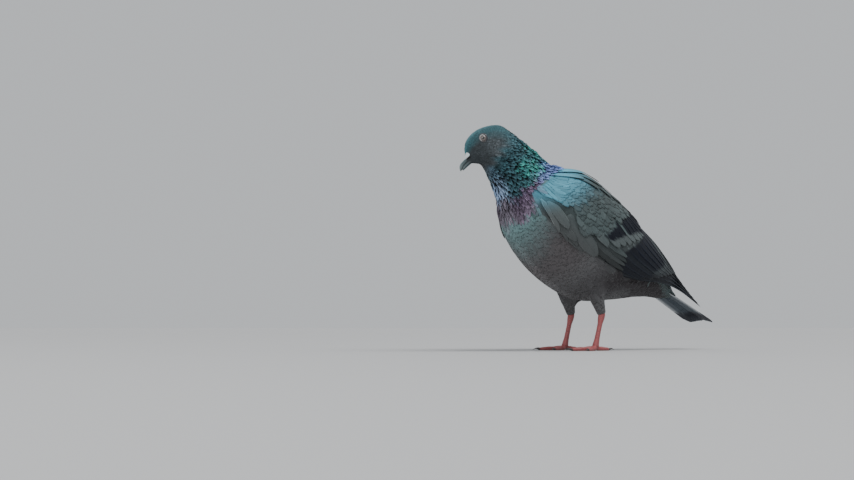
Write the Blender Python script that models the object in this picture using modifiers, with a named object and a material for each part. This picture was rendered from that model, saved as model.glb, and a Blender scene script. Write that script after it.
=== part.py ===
"""A standing rock pigeon at life size, with its wings folded and its head turned a little to its right.

Frame: +X ahead of the bird, +Y to its left, +Z up, the floor at Z = 0. Metres.
The body is one fused form, parted into head, neck and trunk by thin cuts. The other pieces are let into it.
"""

import math

import bmesh
import bpy
from mathutils import Matrix, Vector

MM = 0.001
GAP = 0.35 * MM  # left between neighbours

# Stance
BODY_PITCH = math.radians(33)  # slope of the body's axis, head up
TAIL_PITCH = math.radians(26)
LEVELS_FROM, LEVELS_TO = 45, 125  # mm behind the trunk's middle, where the axis eases to the tail's slope
TRUNK_MIDDLE = Vector((47.2, 0, 115)) * MM
NECK_BASE = Vector((61.7, 0, 123)) * MM
HEAD_MIDDLE = Vector((111.7, -7, 177.5)) * MM
HEAD_TURN = math.radians(20)  # to the bird's right
HEAD_PITCH = math.radians(34)  # bill down
HEAD_ROLL = math.radians(9)  # left eye up
ANKLE = Vector((8.7, 21, 31)) * MM  # of the left leg
FOOT = Vector((16.2, 21, 0)) * MM  # where its toes meet

# Sections of the trunk, mm: distance behind its middle, level of the widest line, half width, back, belly
TRUNK = (
    (-54, -9, 4, -2, 12),
    (-48, -8, 16, 10, 18),
    (-38, -5, 28, 27, 28),
    (-18, -2, 40, 40, 40.5),
    (10, 0, 44.5, 44, 49),
    (38, 2, 43.5, 46, 50),
    (64, 4, 39.5, 43.5, 44),
    (88, 8, 33, 38, 28),
    (112, 11, 25, 31, 11.5),
    (132, 12.5, 17.5, 23.5, 1),
    (148, 12, 11, 17, -4.5),
)
# Sections of the neck, mm: share of the way from its base to the head, half width, nape, throat
NECK = (
    (0.0, 27, 31, 27),
    (0.17, 26, 29.5, 28),
    (0.36, 24.5, 23.5, 28),
    (0.63, 20, 21, 24),
    (0.8, 17, 21.5, 20),
    (0.92, 15, 20.5, 17),
    (1.0, 10.5, 16, 12),
)
NECK_BOW = 6 * MM  # how far the neck's line stands behind a straight one
SHOULDER_CUT, THROAT_CUT = 0.16, 0.70  # shares of the neck where it is parted from trunk and head
# Sections of the head, mm: distance ahead of its middle, level, half width, above, below
HEAD = (
    (-22.0, -6.0, 3, 4, 3),
    (-19.5, -5.5, 9.5, 10.2, 8),
    (-12.0, -2.5, 12.8, 12.2, 11.5),
    (-3.0, -0.8, 13.4, 13.2, 13.2),
    (5.5, -0.4, 12.7, 13.3, 14.0),
    (12.6, -1.0, 10.4, 12.0, 13.2),
    (17.2, -2.0, 7.8, 10.1, 10.8),
    (20.6, -3.4, 5.6, 7.4, 7.6),
    (23.0, -4.4, 3.4, 3.8, 3.9),
)
# Sections of the bill, mm: distance ahead of the head's middle, level, half width, above, below
UPPER_BILL = (
    (13.0, -3.0, 2.6, 2.0, 1.4),
    (18.0, -3.9, 3.2, 2.4, 1.7),
    (22.5, -4.8, 2.8, 2.1, 1.7),
    (26.4, -5.6, 2.2, 1.9, 1.7),
    (29.4, -6.5, 1.7, 1.9, 1.8),
    (31.4, -7.6, 1.2, 1.6, 1.7),
    (32.7, -8.9, 0.5, 0.8, 0.9),
)
LOWER_BILL = (
    (13.0, -7.2, 2.9, 2.6, 1.5),
    (18.0, -7.4, 2.9, 3.0, 1.6),
    (22.5, -7.9, 2.4, 2.9, 1.4),
    (26.6, -8.6, 1.9, 2.7, 1.2),
    (29.3, -9.3, 1.4, 2.5, 0.9),
    (30.6, -9.8, 0.7, 1.9, 0.5),
)
CERE = (
    (15.0, -0.6, 2.2, 1.6, 2.0),
    (17.0, -0.3, 3.5, 2.4, 2.6),
    (20.3, -1.2, 3.5, 2.5, 2.6),
    (23.0, -2.9, 2.3, 1.5, 1.8),
    (24.6, -4.0, 0.8, 0.6, 0.8),
)
EYE_RADIUS = 5.4 * MM
EYE_PLACE = Vector((2.5, 7.5, 1.6)) * MM  # ahead of, beside and above the head's middle

# Outer hull that the folded wings follow, mm: behind the trunk's middle, level, half width, half height
HULL = (
    (-50, -7, 16, 20),
    (-34, -5, 32.5, 34),
    (-8, 0, 47, 46.5),
    (30, 3, 49.5, 46),
    (66, 7, 44.5, 41.5),
    (97, 11, 37, 34),
    (120, 13.5, 29, 25),
    (146, 14.5, 20, 15.5),
    (190, 14, 11, 6),
)
# Folded wing: mm behind the trunk's middle, lower and upper edge as degrees up from the side, mm thick
WING = (
    (-38, -10, 18, 3.0),
    (-32, -22, 40, 6.5),
    (-20, -28, 56, 8.0),
    (5, -32, 64, 9.0),
    (32, -33, 68, 9.0),
    (60, -32, 71, 7.5),
    (88, -27, 74, 6.0),
    (110, -12, 74, 4.2),
    (128, 14, 70, 2.6),
    (140, 34, 62, 1.4),
)
PRIMARIES = (
    (66, -30, 30, 2.4),
    (92, -28, 44, 2.8),
    (118, -22, 56, 2.8),
    (142, -12, 64, 2.4),
    (165, -4, 66, 1.9),
    (180, 8, 62, 1.5),
    (187, 24, 50, 1.1),
)
PRIMARIES_IN = 2.6  # mm that the primaries lie inside the hull
BLADE_EDGE = 0.25  # a wing's or primaries' thickness at its edges, as a share of that in its middle
# Tail, mm: distance behind the trunk's middle, level, half width, half thickness
TAIL = (
    (112, 9, 9, 3.6),
    (135, 9.5, 13.5, 3.2),
    (160, 9.5, 16.5, 2.6),
    (185, 9, 18, 2.0),
    (195, 8.8, 17.2, 1.6),
    (199.5, 8.7, 15, 1.2),
    (202, 8.6, 11, 0.8),
)
# Feathered thigh: share of the way from the hip to the ankle, radius in mm
THIGH = ((0.0, 8), (0.18, 12), (0.42, 11.5), (0.68, 8.5), (0.86, 5.6), (1.0, 4.3))
HIP = Vector((24.7, 18, 82)) * MM
HIP_WIDTH = 0.72  # the thigh's width across at the hip, as a share of its depth

HIND = "hind"
# Toes: name, direction in degrees left of straight ahead on the left foot, length in mm
TOES = (("inner", -27, 21), ("middle", 4, 27), ("outer", 34, 21), (HIND, 176, 14))
SHANK_SHARES = (-0.12, 0.0, 0.14, 0.3, 0.75, 1.0)  # of the way from the ankle to the ball of the foot
SHANK_RADII = [radius * MM for radius in (2.0, 2.9, 2.7, 2.1, 2.2, 3.0)]
BALL_HEIGHT = 3.4 * MM
TOE_SHARES = (-0.06, 0.14, 0.36, 0.6, 0.85, 1.0)  # of the toe's length
TOE_RADII = [radius * MM for radius in (2.1, 2.0, 1.95, 1.75, 1.6, 1.0)]
TOE_LIFTS = [lift * MM for lift in (1.2, 0.5, 0.0, 0.0, 0.0, 0.5)]
SOLE_CUT = 0.4 * MM  # how deep the floor's flat cuts into each toe
CLAW_LENGTH, CLAW_RADIUS = 6.5 * MM, 0.95 * MM
CLAW_TAPER = 0.78  # share of its thickness lost by its tip
CLAW_ARCH, CLAW_DROOP = 0.9 * MM, 0.45 * MM
HIND_CLAW = 0.8  # its length as a share of the others'

FACETS = {  # rings along, sides round
    "trunk": (30, 32),
    "neck": (16, 28),
    "head": (24, 28),
    "wing": (22, 7),
    "primaries": (9, 7),
    "tail": (9, 16),
    "thigh": (8, 12),
    "bill": (8, 12),
    "claw": (5, 6),
    "eye": (8, 14),
}
FUSING = {  # grain of the skin that fuses a form, rounds of smoothing, share of its triangles kept
    "body": (1.5 * MM, 26, 0.0192),
    "foot": (0.4 * MM, 4, 0.023),
}
LIMB_SIDES = 12
FAR = 0.3  # m, past the bird on every side
WELD = 0.01 * MM

PLUMAGE = (0.10, 0.15, 0.17)
COLOURS = {  # base colour, roughness
    "head_plumage": ((0.08, 0.16, 0.19), 0.6),
    "neck_plumage": ((0.03, 0.13, 0.12), 0.35),
    "body_plumage": (PLUMAGE, 0.65),
    "wing_plumage": ((0.12, 0.19, 0.21), 0.6),
    "flight_plumage": ((0.05, 0.055, 0.065), 0.55),
    "horn": ((0.05, 0.055, 0.06), 0.4),
    "cere_skin": ((0.65, 0.66, 0.66), 0.6),
    "eye": ((0.45, 0.12, 0.03), 0.1),
    "leg_skin": ((0.42, 0.12, 0.12), 0.55),
}


class Sections:
    """A smooth curve through rows of numbers, read by the first number of a row."""

    def __init__(self, rows):
        self.rows = rows
        self.keys = [row[0] for row in rows]
        self.slopes = [self.slope(i) for i in range(len(rows))]

    def slope(self, i):
        before, after = max(i - 1, 0), min(i + 1, len(self.rows) - 1)
        span = self.keys[after] - self.keys[before]
        return [(b - a) / span for a, b in zip(self.rows[before], self.rows[after])]

    def at(self, key):
        i = min(max(sum(k <= key for k in self.keys) - 1, 0), len(self.rows) - 2)
        width = self.keys[i + 1] - self.keys[i]
        t = min(max((key - self.keys[i]) / width, 0.0), 1.0)
        start, end = 2 * t**3 - 3 * t**2 + 1, 3 * t**2 - 2 * t**3
        leave, arrive = (t**3 - 2 * t**2 + t) * width, (t**3 - t**2) * width
        pairs = zip(self.rows[i], self.rows[i + 1], self.slopes[i], self.slopes[i + 1])
        return [start * a + end * b + leave * da + arrive * db for a, b, da, db in pairs]

    def evenly(self, count):
        step = (self.keys[-1] - self.keys[0]) / (count - 1)
        return [self.at(self.keys[0] + step * i) for i in range(count)]


def axis(behind):
    """A frame of ahead, left and up on the body's axis, this many mm behind the trunk's middle."""
    point, step = TRUNK_MIDDLE.copy(), 1.0 if behind > 0 else -1.0
    walked = 0.0
    while abs(behind - walked) > 1e-9:
        stride = step * min(abs(behind - walked), 2.0)
        slope = pitch(walked + stride / 2)
        point -= Vector((math.cos(slope), 0, math.sin(slope))) * stride * MM
        walked += stride
    slope = pitch(behind)
    frame = Matrix.Rotation(-slope, 4, "Y")
    frame.translation = point
    return frame


def pitch(behind):
    share = min(max((behind - LEVELS_FROM) / (LEVELS_TO - LEVELS_FROM), 0.0), 1.0)
    return BODY_PITCH + (TAIL_PITCH - BODY_PITCH) * share * share * (3 - 2 * share)


def head_frame():
    turn = Matrix.Rotation(-HEAD_TURN, 4, "Z")
    nod = Matrix.Rotation(HEAD_PITCH, 4, "Y")
    roll = Matrix.Rotation(HEAD_ROLL, 4, "X")
    return Matrix.Translation(HEAD_MIDDLE) @ turn @ nod @ roll


def oval(frame, level, half_width, above, below, sides):
    """A ring across the frame's X axis, in mm, with unlike halves above and below its widest line."""
    ring = []
    for i in range(sides):
        t = 2 * math.pi * i / sides
        height = (above if math.sin(t) > 0 else below) * math.sin(t)
        ring.append(frame @ (Vector((0, half_width * math.cos(t), level + height)) * MM))
    return ring


def loft(name, rings, material):
    """A closed object through rings of equally many points, with flat ends."""
    mesh = bmesh.new()
    rows = [[mesh.verts.new(point) for point in ring] for ring in rings]
    for row, following in zip(rows, rows[1:]):
        for i in range(len(row)):
            j = (i + 1) % len(row)
            mesh.faces.new((row[i], row[j], following[j], following[i]))
    mesh.faces.new(rows[0])
    mesh.faces.new(rows[-1])
    bmesh.ops.recalc_face_normals(mesh, faces=mesh.faces)
    return made(name, mesh, material)


def made(name, mesh, material):
    data = bpy.data.meshes.new(name)
    mesh.to_mesh(data)
    mesh.free()
    data.materials.append(finish(material))
    data.shade_smooth()
    obj = bpy.data.objects.new(name, data)
    PIGEON.objects.link(obj)
    return obj


def finish(name):
    found = bpy.data.materials.get(name)
    if found:
        return found
    colour, roughness = COLOURS[name]
    found = bpy.data.materials.new(name)
    found.use_nodes = True
    shader = found.node_tree.nodes["Principled BSDF"]
    shader.inputs["Base Color"].default_value = (*colour, 1)
    shader.inputs["Roughness"].default_value = roughness
    return found


def settled(obj):
    """Applies the object's modifiers, and welds what they leave loose."""
    bpy.context.view_layer.update()
    evaluated = obj.evaluated_get(bpy.context.evaluated_depsgraph_get())
    data = bpy.data.meshes.new_from_object(evaluated)
    mesh = bmesh.new()
    mesh.from_mesh(data)
    bmesh.ops.remove_doubles(mesh, verts=mesh.verts, dist=WELD)
    mesh.to_mesh(data)
    mesh.free()
    kept = bpy.data.objects.new("settled", data)
    kept.matrix_world = obj.matrix_world.copy()
    name, home = obj.name, obj.users_collection[0]
    bpy.data.objects.remove(obj)
    kept.name = name
    home.objects.link(kept)
    return kept


def cutter(obj):
    """Moves an object to the cutters, which aren't part of the bird."""
    for home in list(obj.users_collection):
        home.objects.unlink(obj)
    CUTTERS.objects.link(obj)
    obj.hide_render = True
    obj.display_type = "WIRE"
    return obj


def cut(obj, other, operation="DIFFERENCE"):
    boolean = obj.modifiers.new(operation.title() + "_" + other.name, "BOOLEAN")
    boolean.operation = operation
    boolean.object = other


def let_in(obj, *hosts):
    """Cuts room for obj, with a gap all round, out of the hosts that it is set in."""
    room = obj.copy()
    room.data = obj.data.copy()
    room.name = "room_for_" + obj.name
    CUTTERS.objects.link(room)
    swell = room.modifiers.new("Gap", "DISPLACE")
    swell.strength, swell.mid_level = GAP, 0
    cutter(room)
    for host in hosts:
        cut(host, room)


def block(name, frame, low, high):
    """A box cutter between two corners given in the frame, in metres."""
    mesh = bmesh.new()
    bmesh.ops.create_cube(mesh, size=1)
    for vertex in mesh.verts:
        share = vertex.co + Vector((0.5, 0.5, 0.5))
        vertex.co = frame @ Vector([a + (b - a) * s for a, b, s in zip(low, high, share)])
    return cutter(made(name, mesh, "body_plumage"))


def joined(name, objs):
    """One object of all these meshes, not yet fused."""
    mesh = bmesh.new()
    for obj in objs:
        mesh.from_mesh(obj.data)
    fused = made(name, mesh, objs[0].data.materials[0].name)
    for obj in objs:
        bpy.data.objects.remove(obj)
    return fused


def fused(obj, kind):
    """One smooth skin of the meshes in obj, in fewer triangles."""
    grain, rounds, kept = FUSING[kind]
    fuse = obj.modifiers.new("Fuse", "REMESH")
    fuse.mode, fuse.voxel_size = "VOXEL", grain
    blend = obj.modifiers.new("Blend", "SMOOTH")
    blend.factor, blend.iterations = 0.6, rounds
    facets = obj.modifiers.new("Facets", "DECIMATE")
    facets.ratio = kept
    return settled(obj)


def trunk_form():
    along, sides = FACETS["trunk"]
    sections = Sections(TRUNK).evenly(along)
    rings = [oval(axis(a), level, w, up - level, down + level, sides) for a, level, w, up, down in sections]
    return loft("trunk_form", rings, "body_plumage")


def neck_line(share):
    """The neck's middle line, bowed back between its base and the head: a frame looking along it."""
    straight = HEAD_MIDDLE - NECK_BASE
    backward = Vector((-straight.z, 0, straight.x)).normalized()
    point = NECK_BASE + straight * share + backward * NECK_BOW * math.sin(math.pi * share)
    heading = straight + backward * NECK_BOW * math.pi * math.cos(math.pi * share)
    frame = heading.to_track_quat("X", "Z").to_matrix().to_4x4()
    frame.translation = point
    return frame


def neck_form():
    along, sides = FACETS["neck"]
    sections = Sections(NECK).evenly(along)
    rings = [oval(neck_line(share), 0, w, nape, throat, sides) for share, w, nape, throat in sections]
    return loft("neck_form", rings, "neck_plumage")


def head_form():
    along, sides = FACETS["head"]
    rings = [on_head(row, sides) for row in Sections(HEAD).evenly(along)]
    return loft("head_form", rings, "head_plumage")


def on_head(row, sides):
    ahead, level, half_width, above, below = row
    place = head_frame() @ Matrix.Translation((ahead * MM, 0, 0))
    return oval(place, level, half_width, above, below, sides)


def body_form():
    """Head, neck and trunk fused into one smooth skin."""
    return cutter(fused(joined("body_form", [trunk_form(), neck_form(), head_form()]), "body"))


def part_body(body):
    """Head, neck and trunk, each the body within one of three blocks that leave a thin cut between them."""
    throat, shoulders = neck_line(THROAT_CUT), neck_line(SHOULDER_CUT)
    kept = {
        "head": ("head_plumage", [half("above_throat", throat, 1)]),
        "neck": ("neck_plumage", [half("below_throat", throat, -1), half("above_shoulders", shoulders, 1)]),
        "trunk": ("body_plumage", [half("below_shoulders", shoulders, -1)]),
    }
    pieces = {}
    for name, (material, blocks) in kept.items():
        piece = bpy.data.objects.new(name, body.data.copy())
        piece.data.materials.clear()
        piece.data.materials.append(finish(material))
        PIGEON.objects.link(piece)
        for each in blocks:
            cut(piece, each, "INTERSECT")
        pieces[name] = piece
    return pieces


def half(name, frame, side):
    """A cutter that reaches far to one side of the frame's YZ plane, and stops half a gap short of it."""
    near, far = sorted((side * GAP / 2, side * FAR))
    return block(name, frame, (near, -FAR, -FAR), (far, FAR, FAR))


def on_hull(behind, degrees, inward, side):
    """A point on the wings' hull, or this many mm inside it."""
    _, level, half_width, half_height = HULL_SECTIONS.at(behind)
    angle = math.radians(degrees)
    spot = Vector((0, half_width * math.cos(angle), level + half_height * math.sin(angle)))
    normal = Vector((0, math.cos(angle) / half_width, math.sin(angle) / half_height)).normalized()
    spot -= normal * inward
    spot.y *= side
    return axis(behind) @ (spot * MM)


def blade(name, kind, rows, inward, side, material):
    """A closed plate on the hull between a lower and an upper edge, thickest in the middle."""
    rings = []
    along, across = FACETS[kind]
    shares = [i / across for i in range(across + 1)]
    swell = [BLADE_EDGE + (1 - BLADE_EDGE) * math.sqrt(math.sin(math.pi * share)) for share in shares]
    for behind, low, high, thick in Sections(rows).evenly(along):
        degrees = [low + (high - low) * share for share in shares]
        depths = [thick * share for share in swell]
        outer = [on_hull(behind, d, inward, side) for d in degrees]
        inner = [on_hull(behind, d, inward + t, side) for d, t in zip(degrees, depths)]
        rings.append(outer + inner[::-1])
    return loft(name, rings, material)


def tail():
    along, sides = FACETS["tail"]
    rings = [oval(axis(a), level, w, t, t, sides) for a, level, w, t in Sections(TAIL).evenly(along)]
    return loft("tail", rings, "flight_plumage")


def mirrored(point, side):
    return Vector((point.x, point.y * side, point.z))


def thigh(name, side):
    hip, ankle = mirrored(HIP, side), mirrored(ANKLE, side)
    heading = (ankle - hip).to_track_quat("X", "Y").to_matrix().to_4x4()
    rings = []
    along, sides = FACETS["thigh"]
    for share, radius in Sections(THIGH).evenly(along):
        place = Matrix.Translation(hip.lerp(ankle, share)) @ heading
        rings.append(oval(place, 0, radius * (HIP_WIDTH + (1 - HIP_WIDTH) * share), radius, radius, sides))
    return loft(name, rings, "body_plumage")


def tube(name, points, radii, material, sides):
    """A round tube through points, as thick at each as its radius says."""
    data = bpy.data.curves.new(name, "CURVE")
    data.dimensions, data.use_fill_caps = "3D", True
    data.bevel_depth, data.bevel_resolution = MM, (sides - 4) // 2
    data.materials.append(finish(material))
    spline = data.splines.new("POLY")
    spline.points.add(len(points) - 1)
    for knot, point, radius in zip(spline.points, points, radii):
        knot.co, knot.radius = (*point, 1), radius / MM
    obj = bpy.data.objects.new(name, data)
    PIGEON.objects.link(obj)
    return settled(obj)


def foot(name, side):
    """Shank and toes in one, with flats where the toes bear on the floor."""
    ball = mirrored(FOOT, side) + Vector((0, 0, BALL_HEIGHT))
    ankle = mirrored(ANKLE, side)
    knots = [ankle.lerp(ball, share) for share in SHANK_SHARES]
    limbs = [tube("shank", knots, SHANK_RADII, "leg_skin", LIMB_SIDES)]
    for toe_name, degrees, length in TOES:
        knots = toe_line(degrees, length, side)
        limbs.append(tube("toe_" + toe_name, knots, TOE_RADII, "leg_skin", LIMB_SIDES))
    whole = fused(joined(name, limbs), "foot")
    cut(whole, block(name + "_floor", Matrix(), (-FAR, -FAR, -FAR), (FAR, FAR, 0)))
    return whole


def toe_heading(degrees, side):
    angle = math.radians(degrees)
    return Vector((math.cos(angle), side * math.sin(angle), 0))


def toe_line(degrees, length, side):
    """Points along a toe, from the middle of the foot to its tip."""
    reach = toe_heading(degrees, side) * length * MM
    start = mirrored(FOOT, side)
    return [
        start + reach * share + Vector((0, 0, radius - SOLE_CUT + lift))
        for share, radius, lift in zip(TOE_SHARES, TOE_RADII, TOE_LIFTS)
    ]


def claw(word, toe_name, degrees, length, side):
    """A curved claw just beyond a toe's tip, clear of the floor."""
    heading = toe_heading(degrees, side)
    tip = toe_line(degrees, length, side)[-1]
    reach = CLAW_LENGTH * (HIND_CLAW if toe_name == HIND else 1.0)
    along, sides = FACETS["claw"]
    points, radii = [], []
    for i in range(along):
        share = i / (along - 1)
        rise = CLAW_ARCH * math.sin(math.pi * share) - CLAW_DROOP * share
        points.append(tip + heading * (GAP + reach * share) + Vector((0, 0, rise)))
        radii.append(CLAW_RADIUS * (1 - CLAW_TAPER * share))
    return tube(f"claw_{word}_{toe_name}", points, radii, "horn", sides)


def eye(name, side):
    mesh = bmesh.new()
    along, sides = FACETS["eye"]
    bmesh.ops.create_uvsphere(mesh, u_segments=sides, v_segments=along, radius=EYE_RADIUS)
    place = mirrored(EYE_PLACE, side)
    bmesh.ops.transform(mesh, matrix=head_frame() @ Matrix.Translation(place), verts=mesh.verts)
    return made(name, mesh, "eye")


def bill_piece(name, rows, material):
    along, sides = FACETS["bill"]
    return loft(name, [on_head(row, sides) for row in Sections(rows).evenly(along)], material)


def build():
    pieces = part_body(body_form())
    head, trunk = pieces["head"], pieces["trunk"]
    cere = bill_piece("cere", CERE, "cere_skin")
    upper = bill_piece("bill_upper", UPPER_BILL, "horn")
    lower = bill_piece("bill_lower", LOWER_BILL, "horn")
    let_in(cere, upper, head)
    let_in(upper, head, lower)
    let_in(lower, head)
    rear = tail()
    let_in(rear, trunk)
    for word, side in (("left", 1), ("right", -1)):
        let_in(eye("eye_" + word, side), head)
        wing = blade("wing_" + word, "wing", WING, 0, side, "wing_plumage")
        flight = blade("primaries_" + word, "primaries", PRIMARIES, PRIMARIES_IN, side, "flight_plumage")
        leg = thigh("thigh_" + word, side)
        foot_piece = foot("foot_" + word, side)
        let_in(wing, trunk, pieces["neck"], flight)
        let_in(flight, trunk)
        let_in(leg, trunk)
        let_in(foot_piece, leg)
        for toe_name, degrees, length in TOES:
            claw(word, toe_name, degrees, length, side)


for old in list(bpy.data.objects):
    bpy.data.objects.remove(old)
PIGEON = bpy.data.collections.new("Pigeon")
CUTTERS = bpy.data.collections.new("Cutters")
bpy.context.scene.collection.children.link(PIGEON)
bpy.context.scene.collection.children.link(CUTTERS)
HULL_SECTIONS = Sections(HULL)
build()
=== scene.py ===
"""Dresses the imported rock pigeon: one skin, the feathers over it, the eyes, bill, cere, feet and claws.

Frame: +X ahead of the bird, +Y to its left, +Z up, in metres. Tables and the measures of feathers are in
millimetres, and places on the body are mm behind the trunk's middle and degrees up from its side.
The stance, hull, wing and bill repeat the solids' own, so that each feather lies where the solids say.
"""

import itertools
import math

import bmesh
import bpy
import numpy as np
from mathutils import Matrix, Vector
from mathutils.bvhtree import BVHTree


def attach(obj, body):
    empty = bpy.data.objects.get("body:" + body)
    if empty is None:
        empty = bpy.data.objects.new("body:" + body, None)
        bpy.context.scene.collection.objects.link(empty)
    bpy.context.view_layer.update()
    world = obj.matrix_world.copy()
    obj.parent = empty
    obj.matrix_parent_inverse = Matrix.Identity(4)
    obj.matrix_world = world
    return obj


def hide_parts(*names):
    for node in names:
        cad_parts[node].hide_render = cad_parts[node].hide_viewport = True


MM = 0.001
LEFT, UP = np.array((0.0, 1.0, 0.0)), np.array((0.0, 0.0, 1.0))
SIDES = (("left", 1), ("right", -1))
RANDOM = np.random.default_rng(20)

# Stance, as in the solids
BODY_PITCH, TAIL_PITCH = math.radians(33), math.radians(26)
LEVELS_FROM, LEVELS_TO = 45, 125
TRUNK_MIDDLE = np.array((47.2, 0, 115)) * MM
NECK_BASE = np.array((61.7, 0, 123)) * MM
HEAD_MIDDLE = np.array((111.7, -7, 177.5)) * MM
HEAD_TURN, HEAD_PITCH, HEAD_ROLL = math.radians(20), math.radians(34), math.radians(9)
NECK_BOW = 6 * MM
ANKLE = Vector((8.7, 21, 31)) * MM
FOOT = Vector((16.2, 21, 0)) * MM
EYE_RADIUS = 5.4
EYE_PLACE = Vector((2.5, 7.5, 1.6)) * MM

# Place behind, level, half width, half height of the hull that the folded wings follow
HULL = (
    (-50, -7, 16, 20),
    (-34, -5, 32.5, 34),
    (-8, 0, 47, 46.5),
    (30, 3, 49.5, 46),
    (66, 7, 44.5, 41.5),
    (97, 11, 37, 34),
    (120, 13.5, 29, 25),
    (146, 14.5, 20, 15.5),
    (190, 14, 11, 6),
)
# Folded wing: place behind, then the degrees up of its lower and upper edge
WING = (
    (-38, -10, 18),
    (-32, -22, 40),
    (-20, -28, 56),
    (5, -32, 64),
    (32, -33, 68),
    (60, -32, 71),
    (88, -27, 74),
    (110, -12, 74),
    (128, 14, 70),
    (140, 34, 62),
)
# Distance ahead of the head's middle, level, half width, above, below
UPPER_BILL = (
    (13.0, -3.0, 2.6, 2.0, 1.4),
    (18.0, -3.9, 3.2, 2.4, 1.7),
    (22.5, -4.8, 2.8, 2.1, 1.7),
    (26.4, -5.6, 2.2, 1.9, 1.7),
    (29.4, -6.5, 1.7, 1.9, 1.8),
    (31.4, -7.6, 1.2, 1.6, 1.7),
    (32.7, -8.9, 0.5, 0.8, 0.9),
)
LOWER_BILL = (
    (13.0, -7.2, 2.9, 2.6, 1.5),
    (18.0, -7.4, 2.9, 3.0, 1.6),
    (22.5, -7.9, 2.4, 2.9, 1.4),
    (26.6, -8.6, 1.9, 2.7, 1.2),
    (29.3, -9.3, 1.4, 2.5, 0.9),
    (30.6, -9.8, 0.7, 1.9, 0.5),
)
CERE = (
    (12.0, -1.8, 5.2, 2.2, 1.8),
    (14.0, -1.4, 6.7, 3.1, 2.6),
    (17.2, -1.1, 6.2, 3.1, 2.9),
    (20.3, -1.5, 4.6, 2.7, 2.7),
    (22.8, -2.9, 2.9, 1.6, 1.9),
    (24.6, -4.0, 0.9, 0.6, 0.8),
)


# ---- Curves, lines and frames

def curve(rows):
    """A smooth function through rows of numbers, read by each row's first number and level past the ends."""
    rows = np.array(rows, float)
    keys, last = rows[:, 0], len(rows) - 1
    before = np.maximum(np.arange(last + 1) - 1, 0)
    after = np.minimum(np.arange(last + 1) + 1, last)
    slopes = (rows[after] - rows[before]) / (keys[after] - keys[before])[:, None]

    def at(key):
        key = np.asarray(key, float)
        i = np.clip(np.searchsorted(keys, key, side="right") - 1, 0, last - 1)
        width = keys[i + 1] - keys[i]
        t = np.clip((key - keys[i]) / width, 0, 1)
        start, end = 2 * t**3 - 3 * t**2 + 1, 3 * t**2 - 2 * t**3
        leave, arrive = (t**3 - 2 * t**2 + t) * width, (t**3 - t**2) * width
        parts = (start, rows[i]), (end, rows[i + 1]), (leave, slopes[i]), (arrive, slopes[i + 1])
        return np.moveaxis(sum(weight[..., None] * row for weight, row in parts), -1, 0)[1:]

    return at


def between(keys, known, rows):
    """Rows read at keys, straight between the known ones."""
    return np.stack([np.interp(keys, known, values) for values in rows.T], -1)


def unit(vectors):
    return vectors / np.maximum(np.linalg.norm(vectors, axis=-1, keepdims=True), 1e-12)


def square_to(vectors, axes):
    """What is left of each vector without its share along its axis, one unit long."""
    return unit(vectors - (vectors * axes).sum(-1, keepdims=True) * axes)


def ease(value, low, high):
    """0 below low, 1 above high, and smooth between them."""
    t = np.clip((value - low) / (high - low), 0, 1)
    return t * t * (3 - 2 * t)


def within(value, low, full, fading, high):
    """0 below low, smooth up to 1 at full, 1 as far as fading, and smooth down to 0 at high."""
    return ease(value, low, full) * (1 - ease(value, fading, high))


def mix(first, second, share):
    return first + (second - first) * np.asarray(share)[..., None]


def millimetres(line):
    """The distance of each point along its line, in mm."""
    return np.concatenate([[0], np.cumsum(np.linalg.norm(np.diff(line, axis=0), axis=1))]) / MM


def circle(count):
    return np.linspace(0, 2 * np.pi, count, endpoint=False)


def body_axes(behind):
    """Ahead and up of the body, which levels out toward its tail."""
    slope = BODY_PITCH + (TAIL_PITCH - BODY_PITCH) * ease(behind, LEVELS_FROM, LEVELS_TO)
    zero = np.zeros_like(slope)
    ahead = np.stack([np.cos(slope), zero, np.sin(slope)], -1)
    return ahead, np.stack([-np.sin(slope), zero, np.cos(slope)], -1)


BEHIND = np.arange(-120.0, 231.0)
AXIS = np.concatenate([np.zeros((1, 3)), -np.cumsum(body_axes(BEHIND[:-1] + 0.5)[0] * MM, axis=0)])
AXIS += TRUNK_MIDDLE - AXIS[BEHIND == 0]
hull_at, wing_at, cere_at = curve(HULL), curve(WING), curve(CERE)


def body_frame(behind):
    """Origin, ahead and up of the body's axis this many mm behind the trunk's middle."""
    return between(behind, BEHIND, AXIS), *body_axes(behind)


def on_hull(behind, degrees, out, side):
    """Points this many mm outside the wings' hull, and the hull's normals there."""
    behind, degrees = np.broadcast_arrays(np.asarray(behind, float), np.asarray(degrees, float))
    level, wide, high = hull_at(behind)
    angle = np.radians(degrees)
    across, rise = np.cos(angle) / wide, np.sin(angle) / high
    size = np.hypot(across, rise)
    across, rise = across / size, rise / size
    origin, _, up = body_frame(behind)
    y = wide * np.cos(angle) + across * out
    z = level + high * np.sin(angle) + rise * out
    normal = across[..., None] * LEFT * side + rise[..., None] * up
    return origin + (y[..., None] * LEFT * side + z[..., None] * up) * MM, normal


def mm_per_degree(behind, rise):
    """How far one degree up reaches on the wings' hull."""
    _, wide, high = hull_at(behind)
    turn = np.radians(rise)
    return np.hypot(wide * np.sin(turn), high * np.cos(turn)) * math.pi / 180


def over_hull(places, down, length):
    """Where ways over the hull end that point down by radians; a negative length leads back the same way."""
    behind, rise = places.T
    per_degree = mm_per_degree(behind + length / 2, rise)
    return np.stack([behind + length * np.cos(down), rise - length * np.sin(down) / per_degree], -1)


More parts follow.
